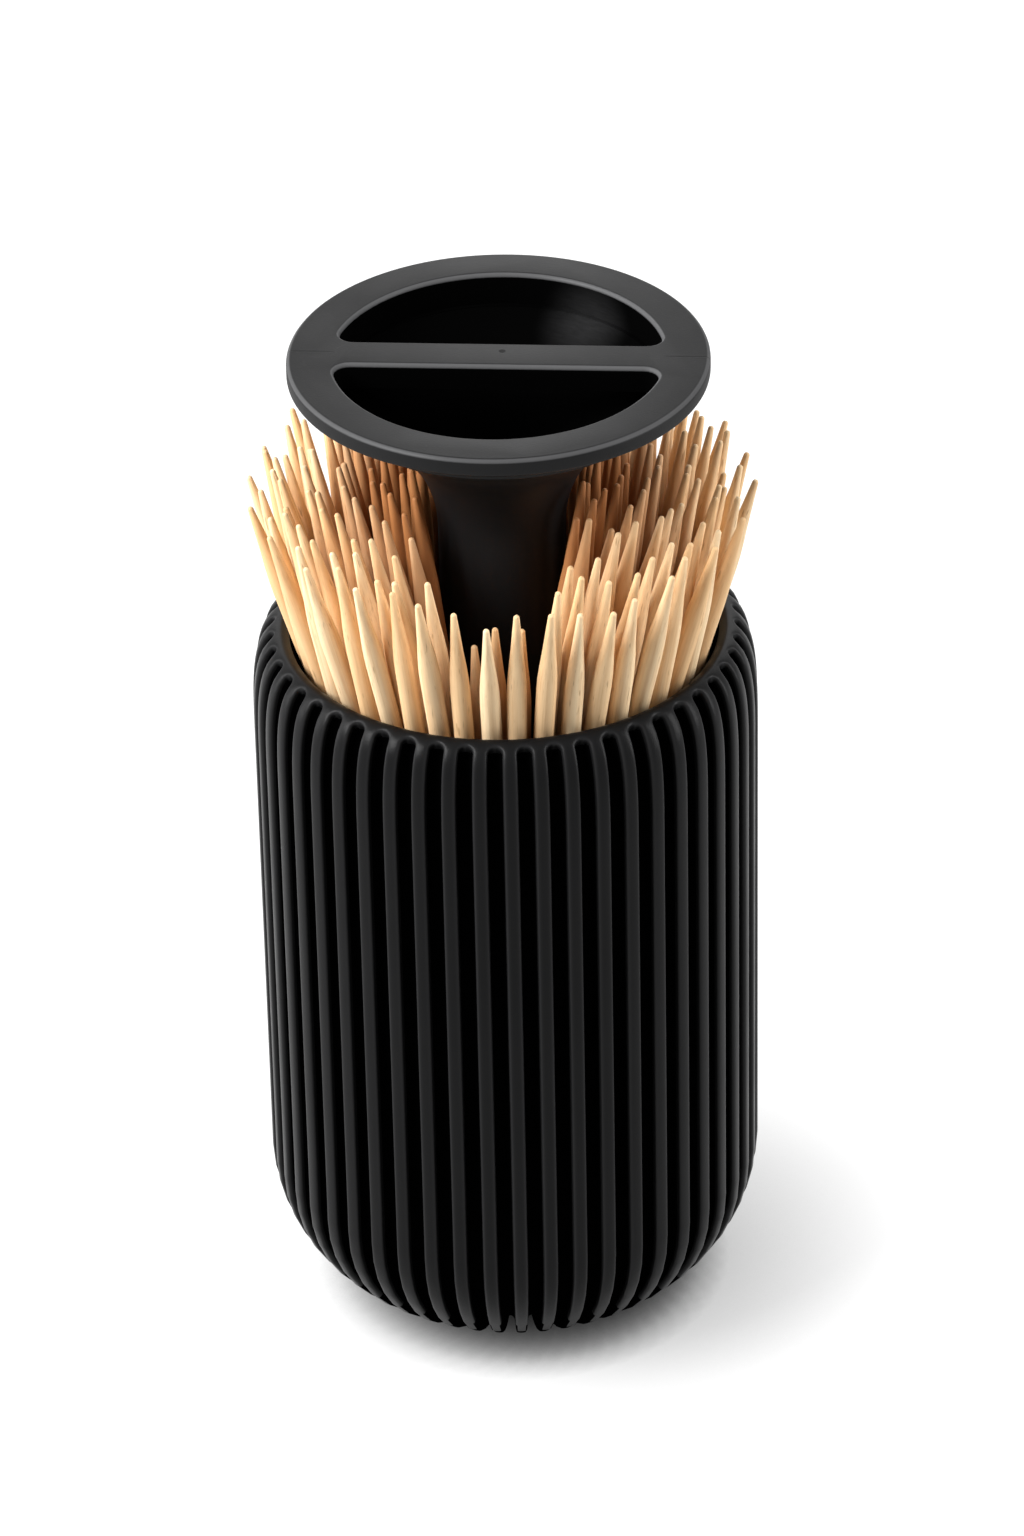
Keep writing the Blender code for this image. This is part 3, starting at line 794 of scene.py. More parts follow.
# A lighter colour along the ribs' rounded edges: a painted highlight.
sunk = np.empty(len(cup.data.vertices), np.float32)
cup.data.attributes[SUNK].data.foreach_get("value", sunk)
edge_highlight = np.clip((sunk - EDGE_RISE[0]) / (EDGE_RISE[1] - EDGE_RISE[0]), 0, 1)
edge_highlight *= 1 - np.clip((sunk - EDGE_FALL[0]) / (EDGE_FALL[1] - EDGE_FALL[0]), 0, 1)
store_edge_highlight(cup, edge_highlight)


def in_hollow(face):
    """Faces deep in a flute or on the bore's wall."""
    depth = sum(sunk[index] for index in face.vertices) / len(face.vertices)
    return depth > HOLLOW_FROM or math.hypot(*face.center[:2]) < BORE_RADIUS + BORE_SKIN


line_painted_shade(cup, flute_shade_finish, in_hollow)
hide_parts("cup")
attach(cup, "cup")
report(cup)

# %% [markdown]
# ## The foot pad
#
# Under the cup lies a thin silicone disc in a shallow recess, so that the cup doesn't slide. Its
# rim is rounded and two fine rings are moulded into its face. Turning gives all of that at once.

# %% Turn the foot pad
PAD_RADIUS = 0.0086
PAD_THICKNESS = 0.0011
PAD_PROUD = 0.0004
RING_GROOVE = 0.00015
RING_RADII = (0.0042, 0.0064)
pad_outline = [(0.0, 0.0)]
for ring_radius in RING_RADII:
    pad_outline += [(ring_radius + across * RING_GROOVE, deep * RING_GROOVE)
                    for across, deep in ((-2, 0), (-1, 1), (1, 1), (2, 0))]
pad_outline += arc((PAD_RADIUS - PAD_PROUD, PAD_PROUD), PAD_PROUD, -90, 0, 5)
pad_outline += [(PAD_RADIUS, PAD_THICKNESS), (0.0, PAD_THICKNESS)]
pad = turn_piece("silicone_foot_pad", pad_outline, 72)
surface(pad, silicone_finish, 35)
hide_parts("foot_pad")
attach(pad, "cup")
report(pad)

# %% [markdown]
# ## The lifter
#
# Disc, funnel and hollow stem are one moulding. The outline is turned, then two D-shaped finger
# openings are cut through the disc, which leaves the bar between them. Each cutter is a D drawn
# flat, extruded down, and shrunk step by step with inset, so the cut leaves a rounded edge. A
# bevel after the cut would trip over the many thin faces that a Boolean leaves.

# %% Sizes of the lifter
LIFTER_TOP = 0.12
DISC_RADIUS = 0.02287
RIM_THICKNESS = 0.0021
RIM_ROUND = 0.0006
RIM_FLAT_END = 0.0012
UNDER_ROUND = 0.0004
UNDER_STEP = 0.0003
PLATE_THICKNESS = 0.003
OPENING_RADIUS = 0.01803
OPENING_CORNER = 0.0017
OPENING_EDGE = 0.0005
EDGE_STEPS = 6
CUT_OVERRUN = 0.001
BAR_WIDTH = 0.005
FUNNEL_WALL = 0.0014
FUNNEL_SHOULDER = 0.0008
FLARE_RADIUS = 0.0155
FLARE_ANGLE = math.radians(55)
NECK_DEPTH = 0.0045
STEM_TOP_RADIUS = 0.007
STEM_END_RADIUS = 0.00685
STEM_WALL = 0.0014
STEM_END = 0.0413
WEB_BOTTOM = 0.0443
WEB_TOP = 0.0463
HOLE_RADIUS = 0.0015
BOSS_RADIUS = 0.003
BOSS_TOP = 0.051


# %% The lifter's half cross-section
def lifter_outline():
    reach = Vector((-math.cos(FLARE_ANGLE), math.sin(FLARE_ANGLE)))
    slope = math.cos(FLARE_ANGLE) / math.sin(FLARE_ANGLE)
    neck = Vector((OPENING_RADIUS + FUNNEL_WALL - FUNNEL_SHOULDER / 2, LIFTER_TOP - NECK_DEPTH))
    flare_radius = STEM_TOP_RADIUS + FLARE_RADIUS
    rise = (neck.x - flare_radius - reach.x * FLARE_RADIUS) * slope
    flare = Vector((flare_radius, neck.y - rise - reach.y * FLARE_RADIUS))
    under = LIFTER_TOP - RIM_THICKNESS
    turn = math.degrees(FLARE_ANGLE)
    outside = [(0.0, LIFTER_TOP), (DISC_RADIUS - RIM_FLAT_END, LIFTER_TOP)]
    outside += arc((DISC_RADIUS - RIM_ROUND, LIFTER_TOP - RIM_ROUND), RIM_ROUND, 90, 0, 6)
    outside += arc((DISC_RADIUS - UNDER_ROUND, under + UNDER_ROUND), UNDER_ROUND, 0, -90, 4)
    outside += [(neck.x + FUNNEL_SHOULDER, under), (neck.x + UNDER_ROUND, under - UNDER_STEP)]
    outside += [tuple(neck)] + arc(flare, FLARE_RADIUS, 180 - turn, 180, 14)
    outside += [(STEM_END_RADIUS, STEM_END + UNDER_ROUND),
                (STEM_END_RADIUS - UNDER_ROUND, STEM_END)]
    bore = STEM_END_RADIUS - STEM_WALL
    hollow = [(bore, STEM_END), (bore, WEB_BOTTOM), (HOLE_RADIUS, WEB_BOTTOM)]
    hollow += [(HOLE_RADIUS, BOSS_TOP), (BOSS_RADIUS, BOSS_TOP), (BOSS_RADIUS, WEB_TOP)]
    hollow += [(bore, WEB_TOP)] + arc(flare, FLARE_RADIUS + FUNNEL_WALL, 180, 180 - turn, 14)
    inner = flare + reach * (FLARE_RADIUS + FUNNEL_WALL)
    cavity = OPENING_RADIUS - OPENING_EDGE
    ledge = inner.y + (cavity - inner.x) * slope
    plate = LIFTER_TOP - PLATE_THICKNESS
    return outside + hollow + [(cavity, ledge), (cavity, plate), (0.0, plate)], ledge


LIFTER_OUTLINE, LEDGE = lifter_outline()
lifter = turn_piece("pull_up_lifter", LIFTER_OUTLINE, 144)
print("points in the lifter's outline:", len(LIFTER_OUTLINE))


# %% Draw a D-shaped cutter and shrink it downwards
def opening_corner():
    """Where the D's corner rounding has its centre, and the angle at which it meets the arc."""
    y = BAR_WIDTH / 2 + OPENING_CORNER
    x = math.sqrt((OPENING_RADIUS - OPENING_CORNER) ** 2 - y ** 2)
    return x, y, math.degrees(math.atan2(y, x))


def opening_cutter(name, side):
    x, y, meet = opening_corner()
    around = OPENING_CORNER + OPENING_EDGE
    flat = arc((x, y), around, -90, meet, 6)
    flat += arc((0, 0), OPENING_RADIUS + OPENING_EDGE, meet, 180 - meet, 40)[1:-1]
    flat += arc((-x, y), around, 180 - meet, 270, 6)
    start = LIFTER_TOP + CUT_OVERRUN
    cutter = draw_outline(name, [(a, side * b, start) for a, b in flat], closed=True)
    select_all()
    bpy.ops.mesh.edge_face_add()
    bpy.ops.mesh.select_mode(type="FACE")
    shape = bmesh.from_edit_mesh(cutter.data)
    if shape.faces[:][0].normal.z > 0:
        bpy.ops.mesh.flip_normals()
    extrude((0, 0, -CUT_OVERRUN))
    for step in range(EDGE_STEPS):
        before, after = (math.radians(90 * (step + k) / EDGE_STEPS) for k in (0, 1))
        bpy.ops.mesh.inset(thickness=OPENING_EDGE * (math.sin(after) - math.sin(before)),
                           depth=OPENING_EDGE * (math.cos(before) - math.cos(after)))
    depth = LIFTER_TOP - OPENING_EDGE - LEDGE - FUNNEL_SHOULDER / 8
    extrude((0, 0, -depth))
    select_all()
    bpy.ops.mesh.normals_make_consistent(inside=False)
    leave_edit()
    return cutter


# %% Cut the two finger openings
def cut_away(piece, cutter):
    """Subtract a cutter with an exact Boolean and remove it."""
    choose(piece)
    cut = piece.modifiers.new("cut", "BOOLEAN")
    cut.operation = "DIFFERENCE"
    cut.solver = "EXACT"
    cut.object = cutter
    bpy.ops.object.modifier_apply(modifier="cut")
    bpy.data.objects.remove(cutter, do_unlink=True)


edit(lifter)
select_all()
bpy.ops.mesh.dissolve_limited(angle_limit=math.radians(0.05))
leave_edit()
for cutter_name, cutter_side in (("front_opening", -1), ("back_opening", 1)):
    cut_away(lifter, opening_cutter(cutter_name, cutter_side))
surface(lifter, lifter_finish, 32)

# %% Paint a highlight along the lifter's edges, and paint the funnel near black as shade, with a sheen
HOLLOW_DROP = 0.0009
# How far down the edges the painted highlight reaches, and how strong it is on the rim.
HIGHLIGHT_FROM = 0.00006
RIM_HIGHLIGHT_FROM = 0.00004
RIM_HIGHLIGHT = 0.8
INWARD = 0.0002


def lifter_edge_highlight(point):
    """Painted highlight: full at the rounded edges of the openings and of the disc's rim."""
    radius = math.hypot(point.x, point.y)
    drop = LIFTER_TOP - point.z
    if radius > DISC_RADIUS - RIM_ROUND * 0.8:
        return RIM_HIGHLIGHT if RIM_HIGHLIGHT_FROM < drop < RIM_ROUND * 0.6 else 0.0
    near = radius < OPENING_RADIUS + RIM_ROUND
    return 1.0 if near and HIGHLIGHT_FROM < drop < OPENING_EDGE * 0.75 else 0.0


def in_funnel(face):
    """Faces inside the funnel and stem, below the openings' rounded edges."""
    centre = face.center
    radius = math.hypot(centre.x, centre.y)
    inward = face.normal.x * centre.x + face.normal.y * centre.y < INWARD * radius
    drop = LIFTER_TOP - centre.z
    inner = radius < OPENING_RADIUS + OPENING_EDGE / 2 and drop > HOLLOW_DROP
    plate = drop < PLATE_THICKNESS + UNDER_STEP
    return inner and (plate or inward or face.normal.z > 0.5 or radius < BOSS_RADIUS * 1.6)


store_edge_highlight(lifter, [lifter_edge_highlight(vertex.co) for vertex in lifter.data.vertices])
line_painted_shade(lifter, funnel_shade_and_sheen_finish, in_funnel)
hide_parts("lifter")
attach(lifter, "lifter")
report(lifter)

# %% [markdown]
# ## Tray, friction ring and screw
#
# These sit inside the cup. The tray's dished floor gathers the toothpicks' points, a soft ring in
# its rim rubs on the bore and holds the lifter where it is left, and one screw from below ties the
# tray to the stem. All three are turned, and the screw gets its cross recess from a Boolean.

# %% Turn the tray
BORE_GAP = 0.0006
TRAY_RADIUS = BORE_RADIUS - BORE_GAP
TRAY_FLOOR = 0.041
TRAY_WALL = 0.0016
DISH_START = 0.0074
DISH_RISE = 0.0056
DISH_END = TRAY_RADIUS - 0.002
DISH_STEPS = 14
TRAY_RIM_TOP = 0.0486
TRAY_RIM_BOTTOM = 0.0448
TRAY_RIM_ROUND = 0.0007
TRAY_EDGE = 0.0003
SPIGOT_TOP = 0.044
HUB_RADIUS = 0.0066
GROOVE_BOTTOM = 0.0456
GROOVE_TOP = 0.0478
GROOVE_RADIUS = TRAY_RADIUS - 0.0013
HUB_BOTTOM = 0.0373
HEAD_SEAT = 0.0393
HEAD_RADIUS = 0.0026
RUN_GAP = 0.0003


def dish_height(radius):
    share = max(0.0, (radius - DISH_START) / (DISH_END - DISH_START))
    return TRAY_FLOOR + DISH_RISE * share ** 2


def tray_outline():
    radii = [DISH_START + (DISH_END - DISH_START) * step / DISH_STEPS
             for step in range(DISH_STEPS + 1)]
    spigot = STEM_END_RADIUS - STEM_WALL - RUN_GAP
    points = [(HOLE_RADIUS, SPIGOT_TOP), (spigot - TRAY_EDGE, SPIGOT_TOP),
              (spigot, SPIGOT_TOP - TRAY_EDGE), (spigot, TRAY_FLOOR)]
    points += [(radius, dish_height(radius)) for radius in radii]
    points += [(DISH_END, TRAY_RIM_TOP - TRAY_EDGE), (DISH_END + TRAY_EDGE, TRAY_RIM_TOP)]
    points += arc((TRAY_RADIUS - TRAY_RIM_ROUND, TRAY_RIM_TOP - TRAY_RIM_ROUND), TRAY_RIM_ROUND,
                  90, 0, 4)
    points += [(TRAY_RADIUS, GROOVE_TOP), (GROOVE_RADIUS, GROOVE_TOP)]
    points += [(GROOVE_RADIUS, GROOVE_BOTTOM), (TRAY_RADIUS, GROOVE_BOTTOM)]
    points += [(TRAY_RADIUS, TRAY_RIM_BOTTOM),
               (TRAY_RADIUS - TRAY_WALL, TRAY_RIM_BOTTOM - TRAY_RIM_ROUND)]
    points += [(radius, dish_height(radius) - TRAY_WALL) for radius in reversed(radii[:-1])]
    counterbore = HEAD_RADIUS + RUN_GAP
    points += [(HUB_RADIUS, HUB_BOTTOM), (counterbore, HUB_BOTTOM)]
    points += [(counterbore, HEAD_SEAT + RUN_GAP), (HOLE_RADIUS, HEAD_SEAT + RUN_GAP)]
    return points


tray = turn_piece("toothpick_tray", tray_outline(), 96, closed=True)
surface(tray, tray_finish, 32)
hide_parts("pick_tray")
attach(tray, "lifter")
report(tray)

# %% Turn the friction ring
RING_HEIGHT = 0.0016
RING_ROUND = 0.0004
ring_inner = GROOVE_RADIUS + RUN_GAP
ring_outer = BORE_RADIUS - RUN_GAP
ring_bottom = GROOVE_BOTTOM + RUN_GAP
ring_top = ring_bottom + RING_HEIGHT
ring_outline = [(ring_inner, ring_bottom), (ring_inner, ring_top)]
ring_outline += arc((ring_outer - RING_ROUND, ring_top - RING_ROUND), RING_ROUND, 90, 0, 5)
ring_outline += arc((ring_outer - RING_ROUND, ring_bottom + RING_ROUND), RING_ROUND, 0, -90, 5)
friction_ring = turn_piece("silicone_friction_ring", ring_outline, 96, closed=True)
surface(friction_ring, silicone_finish, 35)
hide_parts("friction_ring")
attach(friction_ring, "glide")
report(friction_ring)

# %% Turn the screw with its thread grooves
SCREW_RADIUS = 0.0012
SCREW_END = 0.0501
HEAD_BOTTOM = HEAD_SEAT - 0.0017
HEAD_ROUND = 0.0005
HEAD_FLAT_END = 0.0008
THREAD_START = 0.0006
THREAD_END = 0.0015
TIP_RADIUS = 0.0009
TIP_LENGTH = 0.001
THREAD_CORE = 0.00092
THREAD_PITCH = 0.00062
THREAD = ((THREAD_CORE, 0.0), (SCREW_RADIUS, 0.00018), (SCREW_RADIUS, 0.00024),
          (THREAD_CORE, 0.00042))
screw_outline = [(0.0, HEAD_BOTTOM), (HEAD_RADIUS - HEAD_FLAT_END, HEAD_BOTTOM)]
screw_outline += arc((HEAD_RADIUS - HEAD_ROUND, HEAD_BOTTOM + HEAD_ROUND), HEAD_ROUND, -70, 0, 4)
screw_outline += [(HEAD_RADIUS, HEAD_SEAT), (THREAD_CORE, HEAD_SEAT)]
thread_height = HEAD_SEAT + THREAD_START
while thread_height < SCREW_END - THREAD_END:
    screw_outline += [(radius, thread_height + rise) for radius, rise in THREAD]
    thread_height += THREAD_PITCH
screw_outline += [(TIP_RADIUS, SCREW_END - TIP_LENGTH), (0.0, SCREW_END)]
screw = turn_piece("tray_screw_steel", screw_outline, 40)


# %% Cut the cross recess
def cross_arm(name, size):
    deselect_everything()
    bpy.ops.mesh.primitive_cube_add(size=1, location=(0, 0, HEAD_BOTTOM), scale=size)
    bpy.ops.object.transform_apply(location=True, rotation=True, scale=True)
    arm = bpy.context.object
    arm.name = name
    edit(arm)
    select_faces(arm, lambda centre, normal: normal.z > 0.5)
    bpy.ops.transform.resize(value=(0.45, 0.45, 1), center_override=(0, 0, HEAD_SEAT))
    leave_edit()
    return arm


ARM_SIZES = {"arm_x": (0.0028, 0.0006, 0.0021), "arm_y": (0.0006, 0.0028, 0.0021)}
for arm_name, arm_size in ARM_SIZES.items():
    cut_away(screw, cross_arm(arm_name, arm_size))
surface(screw, steel_finish, 35)
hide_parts("tray_screw")
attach(screw, "lifter")
report(screw)

# %% [markdown]
# ## The toothpicks
#
# A toothpick is a 65 mm birch rod, ground to a blunt point at both ends. One is turned, and every
# other is a copy with its own mesh, its own length and its own piece of wood. The grain must run
# along each stick however it leans, so the copy keeps its upright coordinates in an attribute,
# shifted by a random step, and the birch finish reads them from there.
# The frame has 48 toothpicks round the lip, each on a body of its own. The real bundle has some
# three times as many, so further rings stand inside, and it closes up like a fan when the lifter
# goes down. From how much an inner stick leans, a share of the turn of the nearest of the 48 is
# worked
# out: near the whole turn, the stick rides with that toothpick's body; with little of it, it rides
# with the lifter; otherwise it stays where it stands, on no body.

# %% Turn one toothpick
PICK_LENGTH = 0.065
PICK_RADIUS = 0.00112
POINT = ((0.00022, 0.0), (0.00033, 0.00018), (0.00057, 0.0034), (0.00077, 0.0060),
         (0.00095, 0.0079), (0.00107, 0.0097), (PICK_RADIUS, 0.0114))
POINT_DOME = 0.00004
PICK_STEPS = 12
pick_outline = [(0.0, -POINT_DOME), *POINT]
pick_outline += [(radius, PICK_LENGTH - height) for radius, height in reversed(POINT)]
pick_outline += [(0.0, PICK_LENGTH + POINT_DOME)]
model_pick = turn_piece("toothpick_model", pick_outline, PICK_STEPS)
surface(model_pick, birch_finish, 60)
report(model_pick)

# %% Copy it to a place
WOOD_SPREAD = 3.0
THICKNESS_RANGE = (0.96, 1.03)
# Where and how strongly the inner toothpicks are painted a deeper amber, as shade.
SHADE_RADIUS = 0.0224
SHADE_REACH = 0.008
SHADE_SHARE = 0.95


def painted_shade_share(point):
    """Painted shade: towards the middle of the bundle the wood is a deeper amber."""
    inward = (SHADE_RADIUS - math.hypot(point.x, point.y)) / SHADE_REACH
    return SHADE_SHARE * min(1.0, max(0.0, inward))


def copy_pick(name, foot, tip, length, chance):
    """Another toothpick from its foot towards its tip, cut from another piece of wood."""
    pick = model_pick.copy()
    pick.data = model_pick.data.copy()
    pick.name = name
    pick.data.name = name
    bpy.context.scene.collection.objects.link(pick)
    upright = np.empty(len(pick.data.vertices) * 3, np.float32)
    pick.data.vertices.foreach_get("co", upright)
    upright = upright.reshape(-1, 3)
    shift = [chance.uniform(0, WOOD_SPREAD) for _ in range(3)]
    turn = chance.uniform(0, math.tau)
    thickness = chance.uniform(*THICKNESS_RANGE)
    wood = pick.data.attributes.new(WOOD_PLACE, "FLOAT_VECTOR", "POINT")
    wood.data.foreach_set("vector", (upright + np.array(shift, np.float32)).ravel())
    shaped = upright.copy()
    stretch = length - PICK_LENGTH
    shaped[:, 2] += np.where(shaped[:, 2] > PICK_LENGTH / 2, stretch, 0.0)
    shaped[:, :2] *= thickness
    pick.data.vertices.foreach_set("co", shaped.ravel())
    direction = (tip - foot).normalized()
    lean = Vector((0, 0, 1)).rotation_difference(direction).to_matrix().to_4x4()
    place = Matrix.Translation(foot) @ lean @ Matrix.Rotation(turn, 4, "Z")
    pick.data.transform(place)
    depth = pick.data.attributes.new(WOOD_SHADE, "FLOAT", "POINT")
    depth.data.foreach_set("value", [painted_shade_share(vertex.co) for vertex in pick.data.vertices])
    pick.data.update()
    return pick


# %% Read where the frame's toothpicks stand
FRAME_PICKS = 48
LENGTH_STEP = 0.0009
FRONT_PICKS = {36: -0.0025, 37: -0.0024, 38: -0.0038, 39: -0.0006, 40: -0.0040, 41: -0.0014,
               42: -0.0040}


def axis_of(node):
    """Foot of a toothpick of the frame and the direction it leans in."""
    points = np.array([v.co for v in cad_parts[node].data.vertices])
    middle = points.mean(0)
    along = Vector(np.linalg.svd(points - middle, full_matrices=False)[2][0])
    if along.z < 0:
        along.negate()
    return Vector(middle) - along * PICK_LENGTH / 2, along


pick_chance = random.Random(27)
for number in range(1, FRAME_PICKS + 1):
    node = f"toothpick_{number:02d}"
    foot, along = axis_of(node)
    longer = FRONT_PICKS.get(number, LENGTH_STEP if number % 2 else -LENGTH_STEP)
    length = PICK_LENGTH + longer + pick_chance.uniform(-0.0007, 0.0007)
    pick = copy_pick(f"lip_toothpick_{number:02d}", foot, foot + along, length, pick_chance)
    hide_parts(node)
    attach(pick, f"pick_{number:02d}")
print("toothpicks of the frame dressed:", FRAME_PICKS)

# %% Inner rings of toothpicks
RINGS = (
    # tip radius, foot radius, spacing at the tips, twist, spans of azimuth, tip height
    (0.0245, 0.0098, 0.0031, 26, ((-76, 76), (104, 256)), 0.1052),
    (0.0211, 0.0094, 0.0029, 46, ((-66, 64), (116, 246)), 0.1063),
    (0.0174, 0.0092, 0.0028, 58, ((-60, 66), (112, 240)), 0.1067),
    (0.0136, 0.0090, 0.0027, 60, ((-50, 66), (114, 232)), 0.1068),
    (0.0104, 0.0088, 0.0026, 58, ((-40, 60), (118, 224)), 0.1066),
    (0.0236, 0.0098, 0.0034, 0, ((78, 102),), 0.1055),
    (0.0200, 0.0094, 0.0034, 0, ((76, 104),), 0.1060),
    (0.0212, 0.0094, 0.00281, 0, ((260, 300),), 0.0972),
)
SPACING_PLAY = 0.16
RADIUS_PLAY = 0.0006
HEIGHT_PLAY = (-0.0016, 0.0012)
UPRIGHT_SHARE = 0.75
HINGE_TURN = {1: 12.0, 0: 9.4}
SHARE_TO_FOLLOW = 0.97
SHARE_TO_STAY = 0.06


def close_up(pick, body, lean):
    """Attach an inner toothpick by the share of its nearest neighbour's turn that its lean asks
    for:
    to that neighbour's body when nearly whole, to the lifter when small, and otherwise to no body."""
    share = UPRIGHT_SHARE * lean / HINGE_TURN[int(body[-2:]) % 2]
    if share >= SHARE_TO_FOLLOW:
        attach(pick, body)
    elif share < SHARE_TO_STAY:
        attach(pick, "lifter")
    else:
        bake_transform(pick)


def add_ring(ring, span, number, chance):
    """Stand toothpicks along a span of azimuth. Gives back how many there are by now."""
    tip_radius, foot_radius, spacing, twist, _, tip_height = ring
    step = math.degrees(spacing / tip_radius)
    azimuth = span[0] + chance.uniform(0, step)
    while azimuth < span[1]:
        at = azimuth + chance.uniform(-SPACING_PLAY, SPACING_PLAY) * step
        out = tip_radius + chance.uniform(-RADIUS_PLAY, RADIUS_PLAY)
        height = tip_height + chance.uniform(*HEIGHT_PLAY)
        turn = math.radians(at)
        foot_turn = math.radians(at - twist * math.cos(turn))
        foot = Vector((foot_radius * math.cos(foot_turn), foot_radius * math.sin(foot_turn), 0))
        foot.z = dish_height(foot_radius) + RUN_GAP
        tip = Vector((out * math.cos(turn), out * math.sin(turn), height))
        number += 1
        pick = copy_pick(f"inner_toothpick_{number:03d}", foot, tip, (tip - foot).length, chance)
        nearest = 1 + round(at / 360 * FRAME_PICKS) % FRAME_PICKS
        lean = math.degrees(math.atan2(out - foot_radius, height - foot.z))
        close_up(pick, f"pick_{nearest:02d}", lean)
        azimuth += step
    return number


ring_chance = random.Random(61)
inner_count = 0
for ring in RINGS:
    for span in ring[4]:
        inner_count = add_ring(ring, span, inner_count, ring_chance)
bpy.data.objects.remove(model_pick, do_unlink=True)
print("inner toothpicks:", inner_count)

# %% [markdown]
# ## Floor, light and camera
#
# The object stands on a seamless white sweep. A large soft light from the upper left lights it
# and casts part of the faint shadow to the lower right, strips at both sides add to the thin lines
# along the ribs, and a panel behind gives the disc its even grey. The floor adds a little light of
# its own for camera, glossy and transmission rays, so that it reads white without brighter lamps.
# Most of its shadow is painted: two ambient-occlusion terms, each towards a set side, darken its
# colour and its own light near the object.

# %% Where the background counts: for the camera, for reflections and through glass
def background_rays(tree):
    """1 for a camera, glossy or transmission ray, and 0 for a ray that lights a surface."""
    path = tree.nodes.new("ShaderNodeLightPath").outputs
    seen = add_math(tree, "MAXIMUM", path["Is Camera Ray"], path["Is Glossy Ray"])
    return add_math(tree, "MAXIMUM", seen, path["Is Transmission Ray"])


# %% Floor
FLOOR_SIZE = 5
FLOOR_WHITE = 0.26
FLOOR_GLOW = 0.84
CONTACTS = (
    # reach of the shade, side that the light comes from, power
    (0.0056, (-0.40, -0.30, 0.87), 2.0),
    (0.022, (-0.86, -0.10, 0.50), 0.5),
)


def contact_shade(tree, reach, light_side, power):
    """A painted shadow: 1 on the open floor, darker where the object stands between it and a side.
    """
    near = tree.nodes.new("ShaderNodeAmbientOcclusion")
    side = tree.nodes.new("ShaderNodeCombineXYZ")
    for socket, value in zip(side.inputs, light_side):
        socket.default_value = value
    feed(tree, near.inputs["Distance"], reach)
    feed(tree, near.inputs["Normal"], side.outputs["Vector"])
    return add_math(tree, "POWER", near.outputs["AO"], power)


deselect_everything()
bpy.ops.mesh.primitive_plane_add(size=FLOOR_SIZE, location=(0, 0, 0))
floor = bpy.context.object
floor.name = "white_sweep"
floor_finish = bpy.data.materials.new("white_sweep")
floor_finish.use_nodes = True
floor_tree = floor_finish.node_tree
floor_tree.nodes.clear()
floor_output = floor_tree.nodes.new("ShaderNodeOutputMaterial")
floor_diffuse = floor_tree.nodes.new("ShaderNodeBsdfDiffuse")
floor_glow = floor_tree.nodes.new("ShaderNodeEmission")
floor_sum = floor_tree.nodes.new("ShaderNodeAddShader")
# The floor's colour and its own light are darkened by the painted shadow.
floor_shade = multiply(floor_tree, *(contact_shade(floor_tree, *contact) for contact in CONTACTS))
floor_white = multiply(floor_tree, floor_shade, FLOOR_WHITE)
glow_strength = multiply(floor_tree, floor_shade, FLOOR_GLOW, background_rays(floor_tree))
for source, socket in ((floor_white, floor_diffuse.inputs["Color"]),
                       (glow_strength, floor_glow.inputs["Strength"]),
                       (floor_diffuse.outputs["BSDF"], floor_sum.inputs[0]),
                       (floor_glow.outputs["Emission"], floor_sum.inputs[1]),
                       (floor_sum.outputs["Shader"], floor_output.inputs["Surface"])):
    floor_tree.links.new(source, socket)
floor.data.materials.append(floor_finish)

# %% World: white behind the object, dimmer as a light
WORLD_LIGHT = 0.24
world = bpy.data.worlds.new("studio")
bpy.context.scene.world = world
world.use_nodes = True
world_tree = world.node_tree
world_background = world_tree.nodes["Background"]
world_background.inputs["Color"].default_value = (1, 1, 1, 1)
world_strength = add_range(world_tree, background_rays(world_tree), 0, 1, WORLD_LIGHT, 1.0)
world_tree.links.new(world_strength, world_background.inputs["Strength"])


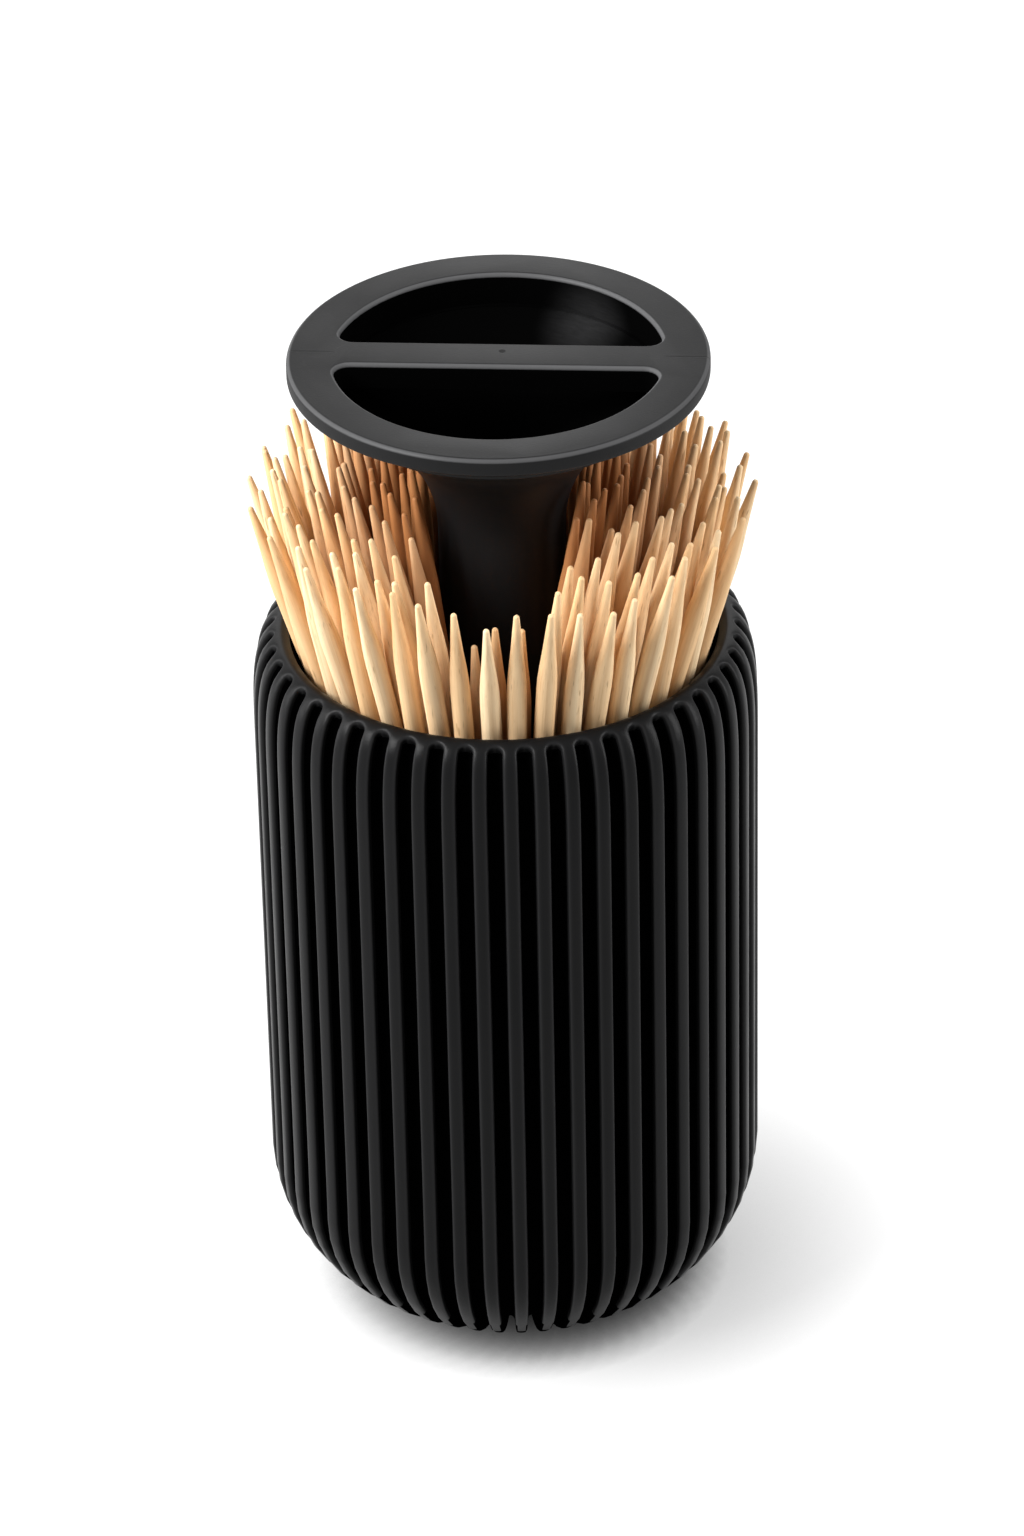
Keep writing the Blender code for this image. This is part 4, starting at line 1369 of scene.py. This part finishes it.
# %% Lamps
def soft_lamp(name, place, width, height, radiance):
    """A rectangular area lamp that faces the object, given by how bright it looks."""
    data = bpy.data.lights.new(name, "AREA")
    data.shape = "RECTANGLE"
    data.size = width
    data.size_y = height
    data.energy = radiance * math.pi * width * height
    lamp = bpy.data.objects.new(name, data)
    bpy.context.scene.collection.objects.link(lamp)
    lamp.location = place
    towards = Vector((0, 0, LIFTER_TOP / 2)) - Vector(place)
    lamp.rotation_euler = towards.to_track_quat("-Z", "Y").to_euler()
    return lamp


LAMPS = (
    # name, place, width, height, radiance
    ("key_front_left", (-0.58, -0.36, 0.62), 0.4, 0.4, 21.5),
    ("side_left", (-0.6, 0.02, 0.3), 0.35, 0.6, 5.0),
    ("side_right", (0.6, -0.05, 0.3), 0.25, 0.6, 8.0),
    ("panel_behind", (0.0, 0.8, 0.58), 1.3, 0.45, 1.75),
)
for lamp_values in LAMPS:
    lamp = soft_lamp(*lamp_values)
    print("lamp:", lamp.name, round(lamp.data.energy, 2), "W")

# %% Camera at the photograph's viewing angle
VIEW_DISTANCE = 0.66436
VIEW_HEIGHT = 0.37232 + LIFTER_TOP
VIEW_AZIMUTH = math.radians(4.2)
VIEW_PAN = math.radians(0.0464)
VIEW_PITCH = math.radians(32.621)
VIEW_ROLL = math.radians(1.224)
LENS = 165.64
SENSOR = 36
CLIP = (0.01, 20)
ahead = Vector((math.sin(VIEW_PAN) * math.cos(VIEW_PITCH),
                math.cos(VIEW_PAN) * math.cos(VIEW_PITCH), -math.sin(VIEW_PITCH)))
level = Vector((math.cos(VIEW_PAN), -math.sin(VIEW_PAN), 0))
below = ahead.cross(level)
right = level * math.cos(VIEW_ROLL) + below * math.sin(VIEW_ROLL)
down = below * math.cos(VIEW_ROLL) - level * math.sin(VIEW_ROLL)
camera_data = bpy.data.cameras.new("camera")
camera_data.sensor_width = SENSOR
camera_data.lens = LENS
camera = bpy.data.objects.new("camera", camera_data)
bpy.context.scene.collection.objects.link(camera)
facing = Matrix((right, -down, -ahead)).transposed().to_4x4()
orbit = Matrix.Rotation(VIEW_AZIMUTH, 4, "Z")
camera.matrix_world = orbit @ Matrix.Translation((0, -VIEW_DISTANCE, VIEW_HEIGHT)) @ facing
camera_data.clip_start, camera_data.clip_end = CLIP
bpy.context.scene.camera = camera
bpy.context.scene.view_settings.view_transform = "Standard"
print("camera at", tuple(round(value, 4) for value in camera.matrix_world.translation))
